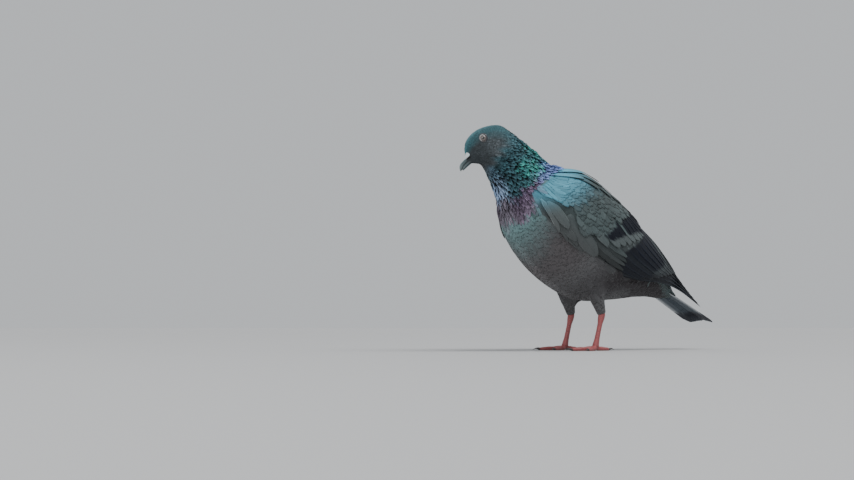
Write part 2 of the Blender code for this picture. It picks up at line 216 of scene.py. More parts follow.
def in_body(points):
    """Distance behind the trunk's middle, degrees up from the side, and share of the hull's radius."""
    behind = -(points - TRUNK_MIDDLE) @ np.array((math.cos(BODY_PITCH), 0, math.sin(BODY_PITCH))) / MM
    for _ in range(4):  # each round comes nearer to the place on the bent axis
        origin, ahead, _ = body_frame(behind)
        behind = behind - ((points - origin) * ahead).sum(-1) / MM
    origin, _, up = body_frame(behind)
    level, wide, high = hull_at(behind)
    y = np.abs(points[..., 1]) / MM / wide
    z = (((points - origin) * up).sum(-1) / MM - level) / high
    return behind, np.degrees(np.arctan2(z, y)), np.hypot(y, z)


HEAD_FRAME = (
    Matrix.Translation(Vector(HEAD_MIDDLE))
    @ Matrix.Rotation(-HEAD_TURN, 4, "Z")
    @ Matrix.Rotation(HEAD_PITCH, 4, "Y")
    @ Matrix.Rotation(HEAD_ROLL, 4, "X")
)
HEAD_AXES = np.array(HEAD_FRAME.to_3x3())


def in_head(points):
    """Millimetres ahead, to the left and above the head's middle."""
    return (points - HEAD_MIDDLE) @ HEAD_AXES / MM


def spine():
    """The middle line from the bill's root over the neck to the tail: its points, headings and backs."""
    ahead = np.arange(26.0, 5.0, -1.0)
    level = np.interp(ahead, (6, 26), (-0.5, -4.5))
    head = HEAD_MIDDLE + (ahead[:, None] * HEAD_AXES[:, 0] + level[:, None] * HEAD_AXES[:, 2]) * MM
    straight = HEAD_MIDDLE - NECK_BASE
    backward = unit(np.array((-straight[2], 0, straight[0])))
    share = np.linspace(0.9, 0.03, 60)[:, None]
    neck = NECK_BASE + straight * share + backward * NECK_BOW * np.sin(np.pi * share)
    trunk = body_frame(np.arange(-12.0, 206.0))[0]
    line = np.concatenate([head, neck, trunk])
    for _ in range(60):  # smooths the line where head, neck and trunk meet
        line[1:-1] = (line[:-2] + 2 * line[1:-1] + line[2:]) / 4
    along = millimetres(line)
    even = np.arange(0.0, along[-1])
    line = between(even, along, line)
    heading = unit(-np.gradient(line, axis=0))
    back = mix(HEAD_AXES[:, 2], np.array((-0.3, 0, 1.0)), ease(even, 18, 40))
    return even, line, heading, square_to(back, heading)


ALONG, SPINE, HEADING, BACK = spine()
SPREAD = 9 * MM  # how far along the middle line its direction is averaged
CHUNK = 4000  # points that are measured at a time
MAP_EDGE = 0.03  # free margin of the unwrapped skin


def in_spine(points):
    """Millimetres along the middle line, angle round it from the back to the left, and the heading there."""
    found = []
    for chunk in np.array_split(points, max(1, len(points) // CHUNK)):
        gap = ((chunk[:, None] - SPINE) ** 2).sum(-1)
        weight = np.exp((gap.min(1, keepdims=True) - gap) / (2 * SPREAD**2))
        weight /= weight.sum(1, keepdims=True)
        heading = unit(weight @ HEADING)
        back = square_to(weight @ BACK, heading)
        out = chunk - weight @ SPINE
        angle = np.arctan2((out * np.cross(back, heading)).sum(-1), (out * back).sum(-1))
        found.append(np.column_stack([weight @ ALONG, angle, heading]))
    found = np.concatenate(found)
    return found[:, 0], found[:, 1], found[:, 2:]


def round_from_back(angle):
    """How far round the middle line an angle is, from the back (0) to the belly (1)."""
    return np.abs(angle) / math.pi


def unwrap(along, angle):
    """The place on a flat map of the skin: round it across the map, along it up the map."""
    flat = np.stack([angle / (2 * np.pi) + 0.5, along / ALONG[-1]], -1)
    return MAP_EDGE + (1 - 2 * MAP_EDGE) * flat


# ---- Meshes

def mesh_object(name, data):
    obj = bpy.data.objects.new(name, data)
    bpy.context.scene.collection.objects.link(obj)
    return obj


def mesh_from(name, mesh):
    """A bmesh's data; the bmesh itself goes."""
    data = bpy.data.meshes.new(name)
    mesh.to_mesh(data)
    mesh.free()
    return data


def paint(data, name, values):
    """Stores a colour for each point of a mesh."""
    layer = data.attributes.new(name, "FLOAT_COLOR", "POINT")
    values = np.concatenate([values, np.ones((len(values), 1))], 1)
    layer.data.foreach_set("color", values.astype(np.float32).ravel())


def mapped(data, name, points_uv):
    """A UV map from one place for each point."""
    corners = np.empty(len(data.loops), np.int32)
    data.loops.foreach_get("vertex_index", corners)
    layer = data.uv_layers.new(name=name)
    layer.data.foreach_set("uv", points_uv[corners].astype(np.float32).ravel())


def dressed(piece, material, slot, *nodes):
    """Gives a piece its material and its body, and hides the CAD nodes that it stands for; the slot is not
    used.
    """
    piece.data.materials.append(material)
    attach(piece, "root")
    if nodes:
        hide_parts(*nodes)
    return piece


def points_of(data):
    points = np.empty(len(data.vertices) * 3)
    data.vertices.foreach_get("co", points)
    return points.reshape(-1, 3)


def normals_of(data):
    normals = np.empty(len(data.vertices) * 3, np.float32)
    data.vertex_normals.foreach_get("vector", normals)
    return normals.reshape(-1, 3).astype(float)


def triangles_of(data):
    data.calc_loop_triangles()
    corners = np.empty(len(data.loop_triangles) * 3, np.int32)
    data.loop_triangles.foreach_get("vertices", corners)
    return corners.reshape(-1, 3)


def move_points(obj, points):
    obj.data.vertices.foreach_set("co", points.ravel())
    obj.data.update()


def smoothed(obj, factor, rounds, voxel=None):
    """The object smoothed, first fused into one closed mesh where a voxel's size is given."""
    if voxel:
        fuse = obj.modifiers.new("Fuse", "REMESH")
        fuse.mode, fuse.voxel_size = "VOXEL", voxel
    smooth = obj.modifiers.new("Smooth", "SMOOTH")
    smooth.factor, smooth.iterations = factor, rounds
    bpy.context.view_layer.update()
    data = bpy.data.meshes.new_from_object(obj.evaluated_get(bpy.context.evaluated_depsgraph_get()))
    name = obj.name
    bpy.data.objects.remove(obj)
    return mesh_object(name, data)


def swollen(name, by, cut_behind=None):
    """A copy of a CAD node's mesh, welded and grown, and cut off at a place behind on the body's axis."""
    mesh = bmesh.new()
    mesh.from_mesh(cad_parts[name].data)
    bmesh.ops.remove_doubles(mesh, verts=mesh.verts, dist=2e-6)
    if cut_behind is not None:
        origin, ahead, _ = body_frame(np.array(float(cut_behind)))
        everything = list(mesh.verts) + list(mesh.edges) + list(mesh.faces)
        bmesh.ops.bisect_plane(mesh, geom=everything, plane_co=origin, plane_no=ahead, clear_inner=True)
        bmesh.ops.holes_fill(mesh, edges=mesh.edges)
    mesh.normal_update()
    for vertex, normal in [(v, v.normal.copy()) for v in mesh.verts]:
        vertex.co += normal * by
    return mesh


def add_tube(mesh, rings):
    """Adds a closed tube through rings of equally many points to a bmesh."""
    rows = [[mesh.verts.new(point) for point in ring] for ring in rings.tolist()]
    for row, following in zip(rows, rows[1:]):
        for i in range(len(row)):
            mesh.faces.new((row[i - 1], row[i], following[i], following[i - 1]))
    mesh.faces.new(rows[0])
    mesh.faces.new(rows[-1])


def lofted(name, rings, material, slot, colours, *nodes):
    """A closed smooth piece through rings of equally many points, with a colour for each place."""
    mesh = bmesh.new()
    add_tube(mesh, rings)
    bmesh.ops.recalc_face_normals(mesh, faces=mesh.faces)
    data = mesh_from(name, mesh)
    paint(data, "plumage", np.broadcast_to(colours, rings.shape).reshape(-1, 3))
    data.shade_smooth()
    return dressed(mesh_object(name, data), material, slot, *nodes)


# ---- The skin

FLESH = ("head", "neck", "trunk", "thigh_left", "thigh_right", "wing_left", "wing_right")
FILLING = ("eye_left", "eye_right", "bill_upper", "bill_lower", "cere")
# The thin plates of feathers reach into the skin only as far behind as this
CUT_BEHIND = {"tail": 150, "primaries_left": 100, "primaries_right": 100, "wing_left": 100, "wing_right": 100}
SWELL = 0.45 * MM  # closes the parting gaps between the solids while they are fused
SKIN_VOXEL = 1.2 * MM
# Distance along the middle line, depth of the coat over the skin in mm
COAT_DEPTH = curve((
    (0, 0.35), (20, 0.4), (34, 0.6), (44, 1.2), (72, 1.1), (90, 0.8), (150, 1.0), (230, 1.3), (300, 1.0),
))
QUILL_DEPTH, FRONT_DEPTH = 4.2, 2.6  # mm under the long feathers of the wing's rear, and of its front edge
FAR = 20.0  # mm behind the surface that the solid's thickness is measured to
DEEPEST_SHARE = 0.3  # of that thickness


def coat_depth(points):
    """How deep in the solids the skin lies, in mm: deeper under the feathers of the wing's front edge."""
    along, _, _ = in_spine(points)
    behind, rise, share = in_body(points)
    depth = COAT_DEPTH(along)[0] * (0.4 + 0.6 * ease(points[:, 2] / MM, 34, 58))
    _, front = past_small(behind, rise)
    return depth + (FRONT_DEPTH - depth) * in_wing(behind, rise, share) * ease(front, -5, 2)


def below_quills(points):
    """The skin's points, moved in where the long feathers of the wings' rear lie, to leave them room."""
    behind, rise, share = in_body(points)
    rear, _ = past_small(behind, rise)
    long = np.maximum(in_wing(behind, rise, share) * ease(rear, -8, 2), under_quills(behind, rise, share))
    moved = points.copy()
    for _, side in SIDES:
        surface, normal = on_hull(behind, rise, 0.0, side)
        over = ((points - surface) * normal).sum(-1) / MM + QUILL_DEPTH
        mine = (points[:, 1] * side >= 0) & (over > 0)
        moved[mine] -= (normal * (over * long * MM)[:, None])[mine]
    return moved


def room_behind(tree, points, normals):
    """How far the far side is behind each place of a surface, in mm."""
    found = []
    for point, normal in zip((points - normals * 0.05 * MM).tolist(), (-normals).tolist()):
        distance = tree.ray_cast(point, normal, FAR * MM)[3]
        found.append(FAR if distance is None else distance / MM)
    return np.array(found)


def make_skin():
    """One smooth skin through the solids of flesh, as deep inside them as the coat over it is thick."""
    whole = bmesh.new()
    for name in sorted({*FLESH, *FILLING, *CUT_BEHIND}):
        data = mesh_from("part", swollen(name, SWELL, CUT_BEHIND.get(name)))
        whole.from_mesh(data)
        bpy.data.meshes.remove(data)
    skin = smoothed(mesh_object("skin", mesh_from("skin", whole)), 0.5, 10, SKIN_VOXEL)
    points, normals = points_of(skin.data), normals_of(skin.data)
    tree = BVHTree.FromPolygons(points.tolist(), triangles_of(skin.data).tolist())
    most = DEEPEST_SHARE * room_behind(tree, points, normals)
    points = points - normals * (SWELL + np.minimum(coat_depth(points), most)[:, None] * MM)
    move_points(skin, below_quills(points))
    skin = smoothed(skin, 0.5, 4)
    skin.data.shade_smooth()
    return skin


class Ground:
    """The skin as something to lay feathers on."""

    def __init__(self, data):
        self.points, self.faces = points_of(data), triangles_of(data)
        self.tree = BVHTree.FromPolygons(self.points.tolist(), self.faces.tolist())
        self.face_normals = unit(normals_of(data)[self.faces].sum(1))

    def nearest(self, points):
        """Each point's nearest place on the skin, and the skin's normal there."""
        found = [self.tree.find_nearest(point) for point in points.reshape(-1, 3).tolist()]
        places = np.array([place[:] for place, _, _, _ in found])
        faces = [face for _, _, face, _ in found]
        return places.reshape(points.shape), self.face_normals[faces].reshape(points.shape)

    def cast(self, origin, directions):
        """Where rays from one point leave the skin, with the normals; rays that miss are dropped."""
        found = [self.tree.ray_cast(origin, direction, 0.09) for direction in directions.tolist()]
        places = np.array([place[:] for place, _, _, _ in found if place is not None])
        faces = [face for _, _, face, _ in found if face is not None]
        return places.reshape(-1, 3), self.face_normals[faces].reshape(-1, 3)

    def scattered(self, count):
        """Points spread evenly at random over the skin."""
        corners = self.points[self.faces]
        area = np.linalg.norm(np.cross(corners[:, 1] - corners[:, 0], corners[:, 2] - corners[:, 0]), axis=1)
        face = RANDOM.choice(len(area), count, p=area / area.sum())
        first, second = RANDOM.random((2, count, 1))
        over = first + second > 1
        first, second = np.where(over, 1 - first, first), np.where(over, 1 - second, second)
        a, b, c = np.moveaxis(corners[face], 1, 0)
        return a + (b - a) * first + (c - a) * second


# ---- Vanes

MOST_TRIANGLES = 190000  # of one piece of the coat
SMALL_PATCH = 0.0014  # half the size of a small feather's patch on the skin's map


class Vanes:
    """Many feathers of one kind. Each is a thin closed blade, sharp at its edges and thicker along its shaft.

    Places are feather by row by column: t is 0 at the root and 1 at the tip, u is -1 and 1 at the edges.
    """

    def __init__(self, rows, columns):
        self.t = np.linspace(0, 1, rows)[:, None] * np.ones(columns)
        self.u = np.linspace(-1, 1, columns) * np.ones((rows, 1))
        self.parts = []

    def outline(self, count, root, widest, tip, round_tip, ragged):
        """How far along and out each place of a feather is, as shares of its length and half width."""
        t, u = self.t, self.u
        shorter = 1 - round_tip * np.abs(u) ** 2.2
        width = root + (1 - root) * ease(t, 0, widest) - (1 - tip) * ease(t, widest, 1.0) * t
        frayed = ragged * (RANDOM.random((count, 1, t.shape[1])) - 0.6) * ease(t, 0.6, 1.0)
        return t * shorter + frayed, u * width + np.zeros((count, 1, 1))

    def add(self, points, normals, colours, thick, chance, uv, patch=SMALL_PATCH):
        """Feathers with their thickness in mm, a number for each and the middle of its place on the map."""
        half = np.reshape(thick, (-1, 1, 1, 1)) * MM / 2
        top = points + normals * ((1 - self.u**2) ** 0.75)[..., None] * half
        middle = points.shape[2] // 2
        under = points[:, :, middle] - normals[:, :, middle] * half[..., 0]
        ring = np.concatenate([top, under[:, :, None]], 2)
        tint = np.concatenate([colours, colours[:, :, middle : middle + 1]], 2)
        u = np.concatenate([self.u, 0 * self.u[:, :1]], 1)
        t = np.concatenate([self.t, self.t[:, :1]], 1)
        vane = np.stack(np.broadcast_arrays(u, t, chance[:, None, None]), -1)
        spot = uv[:, None, None] + np.stack([u, 2 * t - 1], -1) * patch
        self.parts.append((ring, tint, vane, spot))

    def build(self, name, material, slot, *nodes):
        """The feathers as one piece, or as numbered ones where they have too many triangles."""
        layers = [np.concatenate(layer) for layer in zip(*self.parts)]
        count, rows, around = layers[0].shape[:3]
        pieces = math.ceil(count * (2 * (rows - 1) * around + 2 * (around - 2)) / MOST_TRIANGLES)
        order = np.argsort(layers[3][:, 0, 0, 1], kind="stable")
        for number, chosen in enumerate(np.array_split(order, pieces), 1):
            label = name if pieces == 1 else f"{name}_{number}"
            data = self.mesh(label, *(layer[chosen] for layer in layers))
            dressed(mesh_object(label, data), material, slot, *nodes)

    @staticmethod
    def mesh(name, ring, tint, vane, spot):
        count, rows, around = ring.shape[:3]
        i, k = np.meshgrid(np.arange(rows - 1), np.arange(around), indexing="ij")
        low, next_k = i * around + k, (k + 1) % around
        beside = i * around + next_k
        quads = np.stack([low, low + around, beside + around, beside], -1).reshape(-1, 4)
        start_cap, end_cap = np.arange(around), (rows - 1) * around + np.arange(around)[::-1]
        corners = np.concatenate([quads.ravel(), start_cap, end_cap])
        corners = (np.arange(count)[:, None] * rows * around + corners).ravel()
        sizes = np.tile([4] * len(quads) + [around, around], count)
        data = bpy.data.meshes.new(name)
        data.vertices.add(count * rows * around)
        data.vertices.foreach_set("co", ring.astype(np.float32).ravel())
        data.loops.add(len(corners))
        data.loops.foreach_set("vertex_index", corners.astype(np.int32))
        data.polygons.add(len(sizes))
        data.polygons.foreach_set("loop_start", (np.cumsum(sizes) - sizes).astype(np.int32))
        data.polygons.foreach_set("loop_total", sizes.astype(np.int32))
        data.update(calc_edges=True)
        paint(data, "plumage", tint.reshape(-1, 3))
        paint(data, "vane", vane.reshape(-1, 3))
        mapped(data, "OFBake", spot.reshape(-1, 2))
        on_top = np.concatenate([(k < around - 2).ravel(), [False, False]])
        data.polygons.foreach_set("use_smooth", np.tile(on_top, count))
        return data


def column(values):
    """One number for each feather, to set against its rows and columns."""
    return np.asarray(values, float)[:, None, None]


def lay_on_skin(ground, vanes, roots, length, shape, root_height, tip_height, roll):
    """Feathers from roots on the skin, along their lie; heights are mm over the skin at root and tip."""
    along, out = vanes.outline(len(length), *shape)
    side = np.cross(roots.normal, roots.lie)
    flat = (
        roots.place[:, None, None]
        + roots.lie[:, None, None] * (along * column(length))[..., None] * MM
        + side[:, None, None] * (out * column(roots.half_width))[..., None] * MM
    )
    places, normals = ground.nearest(flat)
    rise = root_height + column(tip_height - root_height) * vanes.t**0.9
    rise = rise - column(0.10 * roots.half_width) * out**2 + column(roll) * out
    return places + normals * rise[..., None] * MM, normals


def lay_on_hull(vanes, side, start, end, half_width, shape, heights, bend=0.0, camber=0.3, roll=0.35):
    """Feathers on the wings' hull from start to end; heights are mm out from it at root and tip, and how the
    feather climbs between them; bend, camber and roll are mm sideways, at the edges and across."""
    along, out = vanes.outline(len(start), *shape)
    out = out * side
    (a0, p0), (a1, p1) = start.T[:, :, None, None], end.T[:, :, None, None]
    per_degree = mm_per_degree((a0 + a1) / 2, (p0 + p1) / 2)
    run, climb = a1 - a0, (p1 - p0) * per_degree
    length = np.hypot(run, climb)
    off = out * column(half_width) + np.reshape(bend, (-1, 1, 1)) * np.sin(np.pi * along)
    behind = a0 + along * run - climb / length * off
    degrees = p0 + along * (p1 - p0) + run / length * off / per_degree
    root_height, tip_height, curl = heights
    rise = root_height + (tip_height - root_height) * vanes.t**curl
    return on_hull(behind, degrees, rise - camber * out**2 - roll * out, side)


# ---- Where feathers grow

NO_FEATHER = 99.0  # mm of spacing where nothing grows
NEAR_IN_RINGS, NEAR_BETWEEN, RING_STEP = 0.74, 0.88, 0.84  # distances, as shares of the feathers' spacing
FILLERS = 70000  # places tried for the roots between the rings


def staggered_roots(ground, spacing_at, first, last):
    """Roots in rings round the middle line, each between those of the ring before, then the gaps filled."""
    cell = 4 * MM
    cells, kept = {}, []

    def free(point, near):
        reach = int(near / cell) + 1
        home = [math.floor(value / cell) for value in point]
        for key in itertools.product(*(range(i - reach, i + reach + 1) for i in home)):
            if any(math.dist(point, other) < near for other in cells.get(key, ())):
                return False
        cells.setdefault(tuple(home), []).append(point)
        return True

    def take(points, normals, share):
        for point, normal, space in zip(points.tolist(), normals, spacing_at(points).tolist()):
            if space < NO_FEATHER and free(point, space * share * MM):
                kept.append((point, normal))

    ring_at, phase = first, 0.0
    while ring_at < last:
        centre, heading, back = (between(ring_at, ALONG, rows) for rows in (SPINE, HEADING, BACK))
        heading = unit(heading)
        back = square_to(back, heading)
        left = np.cross(back, heading)

        def leave(angles):
            rays = np.outer(np.cos(angles), back) + np.outer(np.sin(angles), left)
            return ground.cast(centre.tolist(), rays)

        angles = np.linspace(-math.pi, math.pi, 61)
        hits, _ = leave(angles)
        spacing = np.minimum(spacing_at(hits), 9.0)
        if len(hits) == len(angles):
            gaps = np.linalg.norm(np.diff(hits, axis=0), axis=1) / MM / spacing[1:]
            counted = np.concatenate([[0], np.cumsum(gaps)])
            count = max(6, int(round(counted[-1])))
            wanted = (np.arange(count) + phase) * counted[-1] / count
            angles = np.interp(wanted, counted, angles) + RANDOM.normal(0, 0.04 / count, count)
            take(*leave(angles), NEAR_IN_RINGS)
        ring_at += RING_STEP * (np.minimum(spacing, 6.0).mean() if len(hits) else 1.0)
        phase = 0.5 - phase
    take(*ground.nearest(ground.scattered(FILLERS)), NEAR_BETWEEN)
    points, normals = zip(*kept)
    return np.array(points), np.array(normals)


# Lie of the wing's small feathers: place behind, degrees up, and how far they point below the body's axis
WING_LIE = np.array((
    (-36, 2, 28), (-34, 40, 12), (-20, -12, 42), (0, -12, 48), (8, -26, 30), (22, -34, 8), (36, -12, 20),
    (46, 18, 34), (20, 16, 38), (0, 30, 30), (30, 45, 20), (62, 34, 26), (64, 0, 12), (0, 60, 6), (56, 64, 3),
    (-20, 62, 6),
), float)
LIE_SPREAD = 15  # mm over which the rows of that table are averaged

# By degrees up, the place behind where the small coverts end, and of the greater coverts' tips
SMALL_ENDS = curve((
    (-36, -12), (-27, -6), (-20, 5), (-12, 20), (0, 28), (9, 30), (18, 31), (30, 38), (44, 47), (64, 52),
))
COVERT_TIPS = curve((
    (-36, 6), (-26, 16), (-16, 37), (-6, 49), (3, 57), (12, 63), (20, 67), (32, 67), (46, 63), (64, 60),
))
FRONT_EDGE = (-40, -15, -2, 4), (-4, -5, -20, -26)  # by place behind, the degrees up where they end in front


def wing_lie(behind, rise):
    """Radians that the wing's feathers point below the body's axis."""
    away = (behind[..., None] - WING_LIE[:, 0]) ** 2 + (0.8 * (rise[..., None] - WING_LIE[:, 1])) ** 2
    weight = np.exp(-away / LIE_SPREAD**2 / 2) + 1e-6
    return np.radians((weight * WING_LIE[:, 2]).sum(-1) / weight.sum(-1))


def past_small(behind, rise):
    """How many mm past the wing's small coverts a place is: behind them, and below them at the front."""
    front = (np.interp(behind, *FRONT_EDGE) - rise) * 0.8
    return behind - SMALL_ENDS(rise)[0], np.where(behind < 8, front, -99.0)


def under_quills(behind, rise, share):
    """1 where the long feathers of the wings' rear meet over the back, 0 elsewhere."""
    return within(behind, 50, 57, 128, 136) * ease(rise, 35, 50) * (share > 0.86)


def in_wing(behind, rise, share):
    """1 well inside the folded wing, 0 outside it."""
    low, high = wing_at(behind)
    edge = np.minimum(rise - low, high - rise)
    return ease(edge, -2, 3) * within(behind, -44, -38, 136, 142) * (share > 0.8)


# ---- Markings, and the painted green glint of the neck, as linear colours

CROWN, FACE, BLACK = np.array(((0.057, 0.150, 0.174), (0.086, 0.101, 0.110), (0, 0, 0)))
# The second green is a painted highlight, the glint on the neck feathers' tips
GREEN, GREEN_GLINT = np.array(((0.057, 0.136, 0.164), (0.085, 0.720, 0.560)))
PURPLE, MAUVE, VIOLET = np.array(((0.163, 0.116, 0.190), (0.205, 0.155, 0.222), (0.220, 0.318, 0.660)))
THROAT, THROAT_LOW = np.array(((0.410, 0.560, 0.790), (0.300, 0.265, 0.330)))
BREAST_HIGH, BREAST = np.array(((0.228, 0.490, 0.500), (0.108, 0.100, 0.104)))
BELLY, VENT = np.array(((0.146, 0.147, 0.152), (0.028, 0.024, 0.027)))
SHOULDER, WING_BLUE = np.array(((0.132, 0.430, 0.570), (0.077, 0.103, 0.105)))
WING_LOW, PALE_WING = np.array(((0.096, 0.104, 0.105), (0.084, 0.100, 0.102)))
BAR, FLIGHT = np.array(((0.008, 0.010, 0.016), (0.015, 0.017, 0.021)))
TAIL_GREY, TAIL_EDGE, RUMP = np.array(((0.080, 0.100, 0.120), (0.55, 0.58, 0.60), (0.26, 0.31, 0.34)))

# Where colours change, in mm along the middle line, by how far round it is from the back (0) to the belly (1)
GREEN_STARTS = ((0.1, 0.3, 0.5, 0.7, 0.85, 1.0), (36, 33, 31, 28, 25, 23))
PURPLE_STARTS = ((0.3, 0.44, 0.6, 0.78, 0.9, 1.0), (59, 61, 63, 66, 65, 62))
NECK_ENDS = ((0.3, 0.44, 0.5, 0.6, 0.7, 0.8, 1.0), (75, 73, 74, 77, 81, 83.5, 84))


def wing_colour_and_shade(behind, rise):
    """Pale blue at the shoulder, grey behind it, and a lighter grey low down; besides, darker toward the top
    by painted shade, to even out the light from above.
    """
    colour = mix(SHOULDER, WING_BLUE, ease(behind - 0.35 * rise, -43, -12) ** 0.75)
    colour = mix(colour, WING_LOW, 1 - ease(rise, -36, 4))
    # painted shade: darker toward the top of the wing and lighter low down, against the light from above
    return colour * (1.08 - 0.34 * ease(rise, -8, 24))[..., None]


def head_colour(points, below):
    """A blue crown, painted lighter along its top where the sky light falls, over a dark, finely flecked
    face; below is the share of the way round to the throat.
    """
    ahead, _, up = in_head(points).T
    fleck = np.sin(ahead * 1.4 + 1.6 * np.sin(up * 0.9)) * np.sin(up * 1.9 + 1.4 * np.sin(ahead * 0.8))
    bill = ease(ahead, 3, 9)
    # painted highlight: the crown up to nearly twice as bright along its top
    crown = CROWN * (0.9 + 0.9 * (1 - ease(below, 0.06, 0.24)))[:, None]
    cheek = FACE * (1 + (0.10 + 0.55 * fleck) * (1 - bill) - 0.22 * bill)[:, None]
    return crown, cheek


def trunk_colour(points, along, behind, below, past, wave, front):
    """Blue-grey breast, grey belly with a painted highlight along the keel and a dark vent, and the back with
    its pale rump.
    """
    breast = mix(BREAST_HIGH, BREAST, ease(past + 0.5 * wave, -9, 25 + 6 * front) ** 0.42)
    breast = mix(breast, BELLY, ease(along, 115, 140))
    breast = mix(breast, VENT, ease(along, 116, 178))
    x, _, z = points.T / MM
    breast = mix(breast, BELLY * 0.75, (1 - ease(z, 46, 64)) * ease(x, -22, -8))  # the legs
    # painted highlight: a pale line along the keel, where rim light falls
    keel_highlight = ease(below, 0.955, 0.985) * within(along, 88, 100, 150, 165)
    breast = breast * (1 + 0.35 * keel_highlight[:, None])
    rump = within(behind, 82, 100, 118, 132) * (1 - ease(below, 0.18, 0.30))
    back = mix(mix(SHOULDER, WING_BLUE, ease(behind, -30, 0)), RUMP, rump)
    return mix(back, breast, ease(below, 0.34, 0.48))


def colour_of(points):
    """The bird's colour at places on its skin, and how dark its feathers' roots are."""
    along, angle, _ = in_spine(points)
    behind, rise, share = in_body(points)
    below = round_from_back(angle)
    front, blue = ease(below, 0.80, 0.96), 1 - ease(below, 0.42, 0.58)
    wave = 1.6 * np.sin(points[:, 2] / MM * 0.9) + 1.2 * np.sin(angle * 9)
    lines = (GREEN_STARTS, PURPLE_STARTS, NECK_ENDS)
    green_start, purple_start, neck_end = (np.interp(below, *line) for line in lines)
    past = along - neck_end
    crown, cheek = head_colour(points, below)
    colour = mix(crown, cheek, ease(below + 0.004 * wave, 0.25, 0.42))
    green = mix(GREEN, THROAT, front * (0.25 + 0.75 * ease(along, 30, 46)))
    colour = mix(colour, green, ease(along + wave, green_start - 5, green_start + 5))
    purple = mix(mix(PURPLE, MAUVE, ease(along, 66, 80)), VIOLET, blue)
    purple = mix(purple, THROAT_LOW, front)
    colour = mix(colour, purple, ease(along + 1.5 * wave, purple_start - 4, purple_start + 4))
    trunk = trunk_colour(points, along, behind, below, past, wave, front)
    colour = mix(colour, trunk, ease(past + 0.6 * wave, -2, 3))
    colour = mix(colour, wing_colour_and_shade(behind, rise), in_wing(behind, rise, share))
    gap = ease(along, green_start - 2, green_start + 8) * (1 - ease(past, -10, 2))
    gap = gap * (1 - 0.45 * ease(along, purple_start, purple_start + 6) * (1 - front) * (1 - blue))
    return colour, gap


# ---- Materials

class Graph:
    """A material with its shader, and short ways to add nodes."""

    def __init__(self, name, roughness, specular=0.5, **shader):
        self.material = bpy.data.materials.new(name)
        self.material.use_nodes = True
        self.tree = self.material.node_tree
        self.shader = self.tree.nodes["Principled BSDF"].inputs
        self.shader["Roughness"].default_value = roughness
        self.shader["Specular IOR Level"].default_value = specular
        for key, value in shader.items():
            self.shader[key.replace("_", " ").title()].default_value = value

    def node(self, kind, settings=None, **inputs):
        node = self.tree.nodes.new(kind)
        for key, value in (settings or {}).items():
            setattr(node, key, value)
        for key, value in inputs.items():
            socket = node.inputs[int(key[1:])] if key[1:].isdigit() else node.inputs[key]
            if isinstance(value, bpy.types.NodeSocket):
                self.tree.links.new(value, socket)
            else:
                socket.default_value = value
        return node

    def maths(self, operation, first, second=0.0, third=0.0):
        return self.node("ShaderNodeMath", {"operation": operation}, i0=first, i1=second, i2=third).outputs[0]

    def plus(self, first, second):
        return self.maths("ADD", first, second)

    def times(self, first, second):
        return self.maths("MULTIPLY", first, second)

    def attribute(self, name):
        settings = {"attribute_name": name, "attribute_type": "GEOMETRY"}
        return self.node("ShaderNodeAttribute", settings).outputs

    def noise(self, scale, detail):
        place = self.node("ShaderNodeTexCoord").outputs["Object"]
        return self.node("ShaderNodeTexNoise", None, Vector=place, Scale=scale, Detail=detail).outputs["Fac"]

    def finish(self, light, height, strength, distance):
        """Lights the points' own colour and adds the relief."""
        own = self.attribute("plumage")["Color"]
        colour = self.node("ShaderNodeVectorMath", {"operation": "SCALE"}, i0=own, Scale=light)
        self.tree.links.new(colour.outputs[0], self.shader["Base Color"])
        if distance:
            bump = self.node("ShaderNodeBump", None, Height=height, Strength=strength, Distance=distance)
            self.tree.links.new(bump.outputs[0], self.shader["Normal"])
        return self.material


def plumage(name, roughness, barb, speckle, streak=0.0, shaft=0.1, relief=0.25, barbs=60, **shader):
    """Feather: the points' own colour, with barbs off the shaft, streaks along it, and a fine mottle."""
    graph = Graph(name, roughness, 0.12, sheen_roughness=0.5, **shader)
    vane = graph.node("ShaderNodeSeparateXYZ", None, Vector=graph.attribute("vane")["Vector"]).outputs
    beside = graph.maths("ABSOLUTE", vane[0])
    phase = graph.maths("SUBTRACT", graph.times(vane[1], barbs * math.pi), graph.times(beside, 22))
    ripple = graph.maths("SINE", graph.plus(phase, graph.times(vane[2], 40.0)))
    ridge = graph.maths("SUBTRACT", 1.0, graph.maths("MINIMUM", graph.times(beside, 14.0), 1.0))
    fine, broad = graph.noise(1500, 2), graph.noise(220, 2)
    mottle = graph.maths("MULTIPLY_ADD", graph.plus(fine, broad), speckle, 1.0 - speckle)
    light = graph.maths("SUBTRACT", graph.plus(mottle, graph.times(ripple, barb)), graph.times(ridge, shaft))
    if streak:
        turn = graph.maths("MULTIPLY_ADD", vane[0], 13.0, graph.times(vane[2], 50.0))
        bent = graph.plus(turn, graph.maths("SINE", graph.times(turn, 0.43)))
        light = graph.maths("MULTIPLY_ADD", graph.maths("SINE", bent), streak, light)
    height = graph.plus(graph.times(ripple, 0.5), graph.plus(fine, ridge))
    return graph.finish(light, height, relief, 0.25 * MM)


def bare_material(name, roughness, fine, depth, speckle=0.2, **shader):
    """Skin, horn or eye: the points' own colour with a mottle and a fine relief."""
    graph = Graph(name, roughness, coat_roughness=0.03, subsurface_radius=(1.0, 0.4, 0.3),
                  subsurface_scale=0.8 * MM, **shader)
    small, broad = graph.noise(fine, 4), graph.noise(fine / 5, 2)
    light = graph.maths("MULTIPLY_ADD", graph.plus(small, broad), speckle, 1.0 - speckle)
    return graph.finish(light, small, 0.5, depth * MM)


# ---- The small feathers over the skin

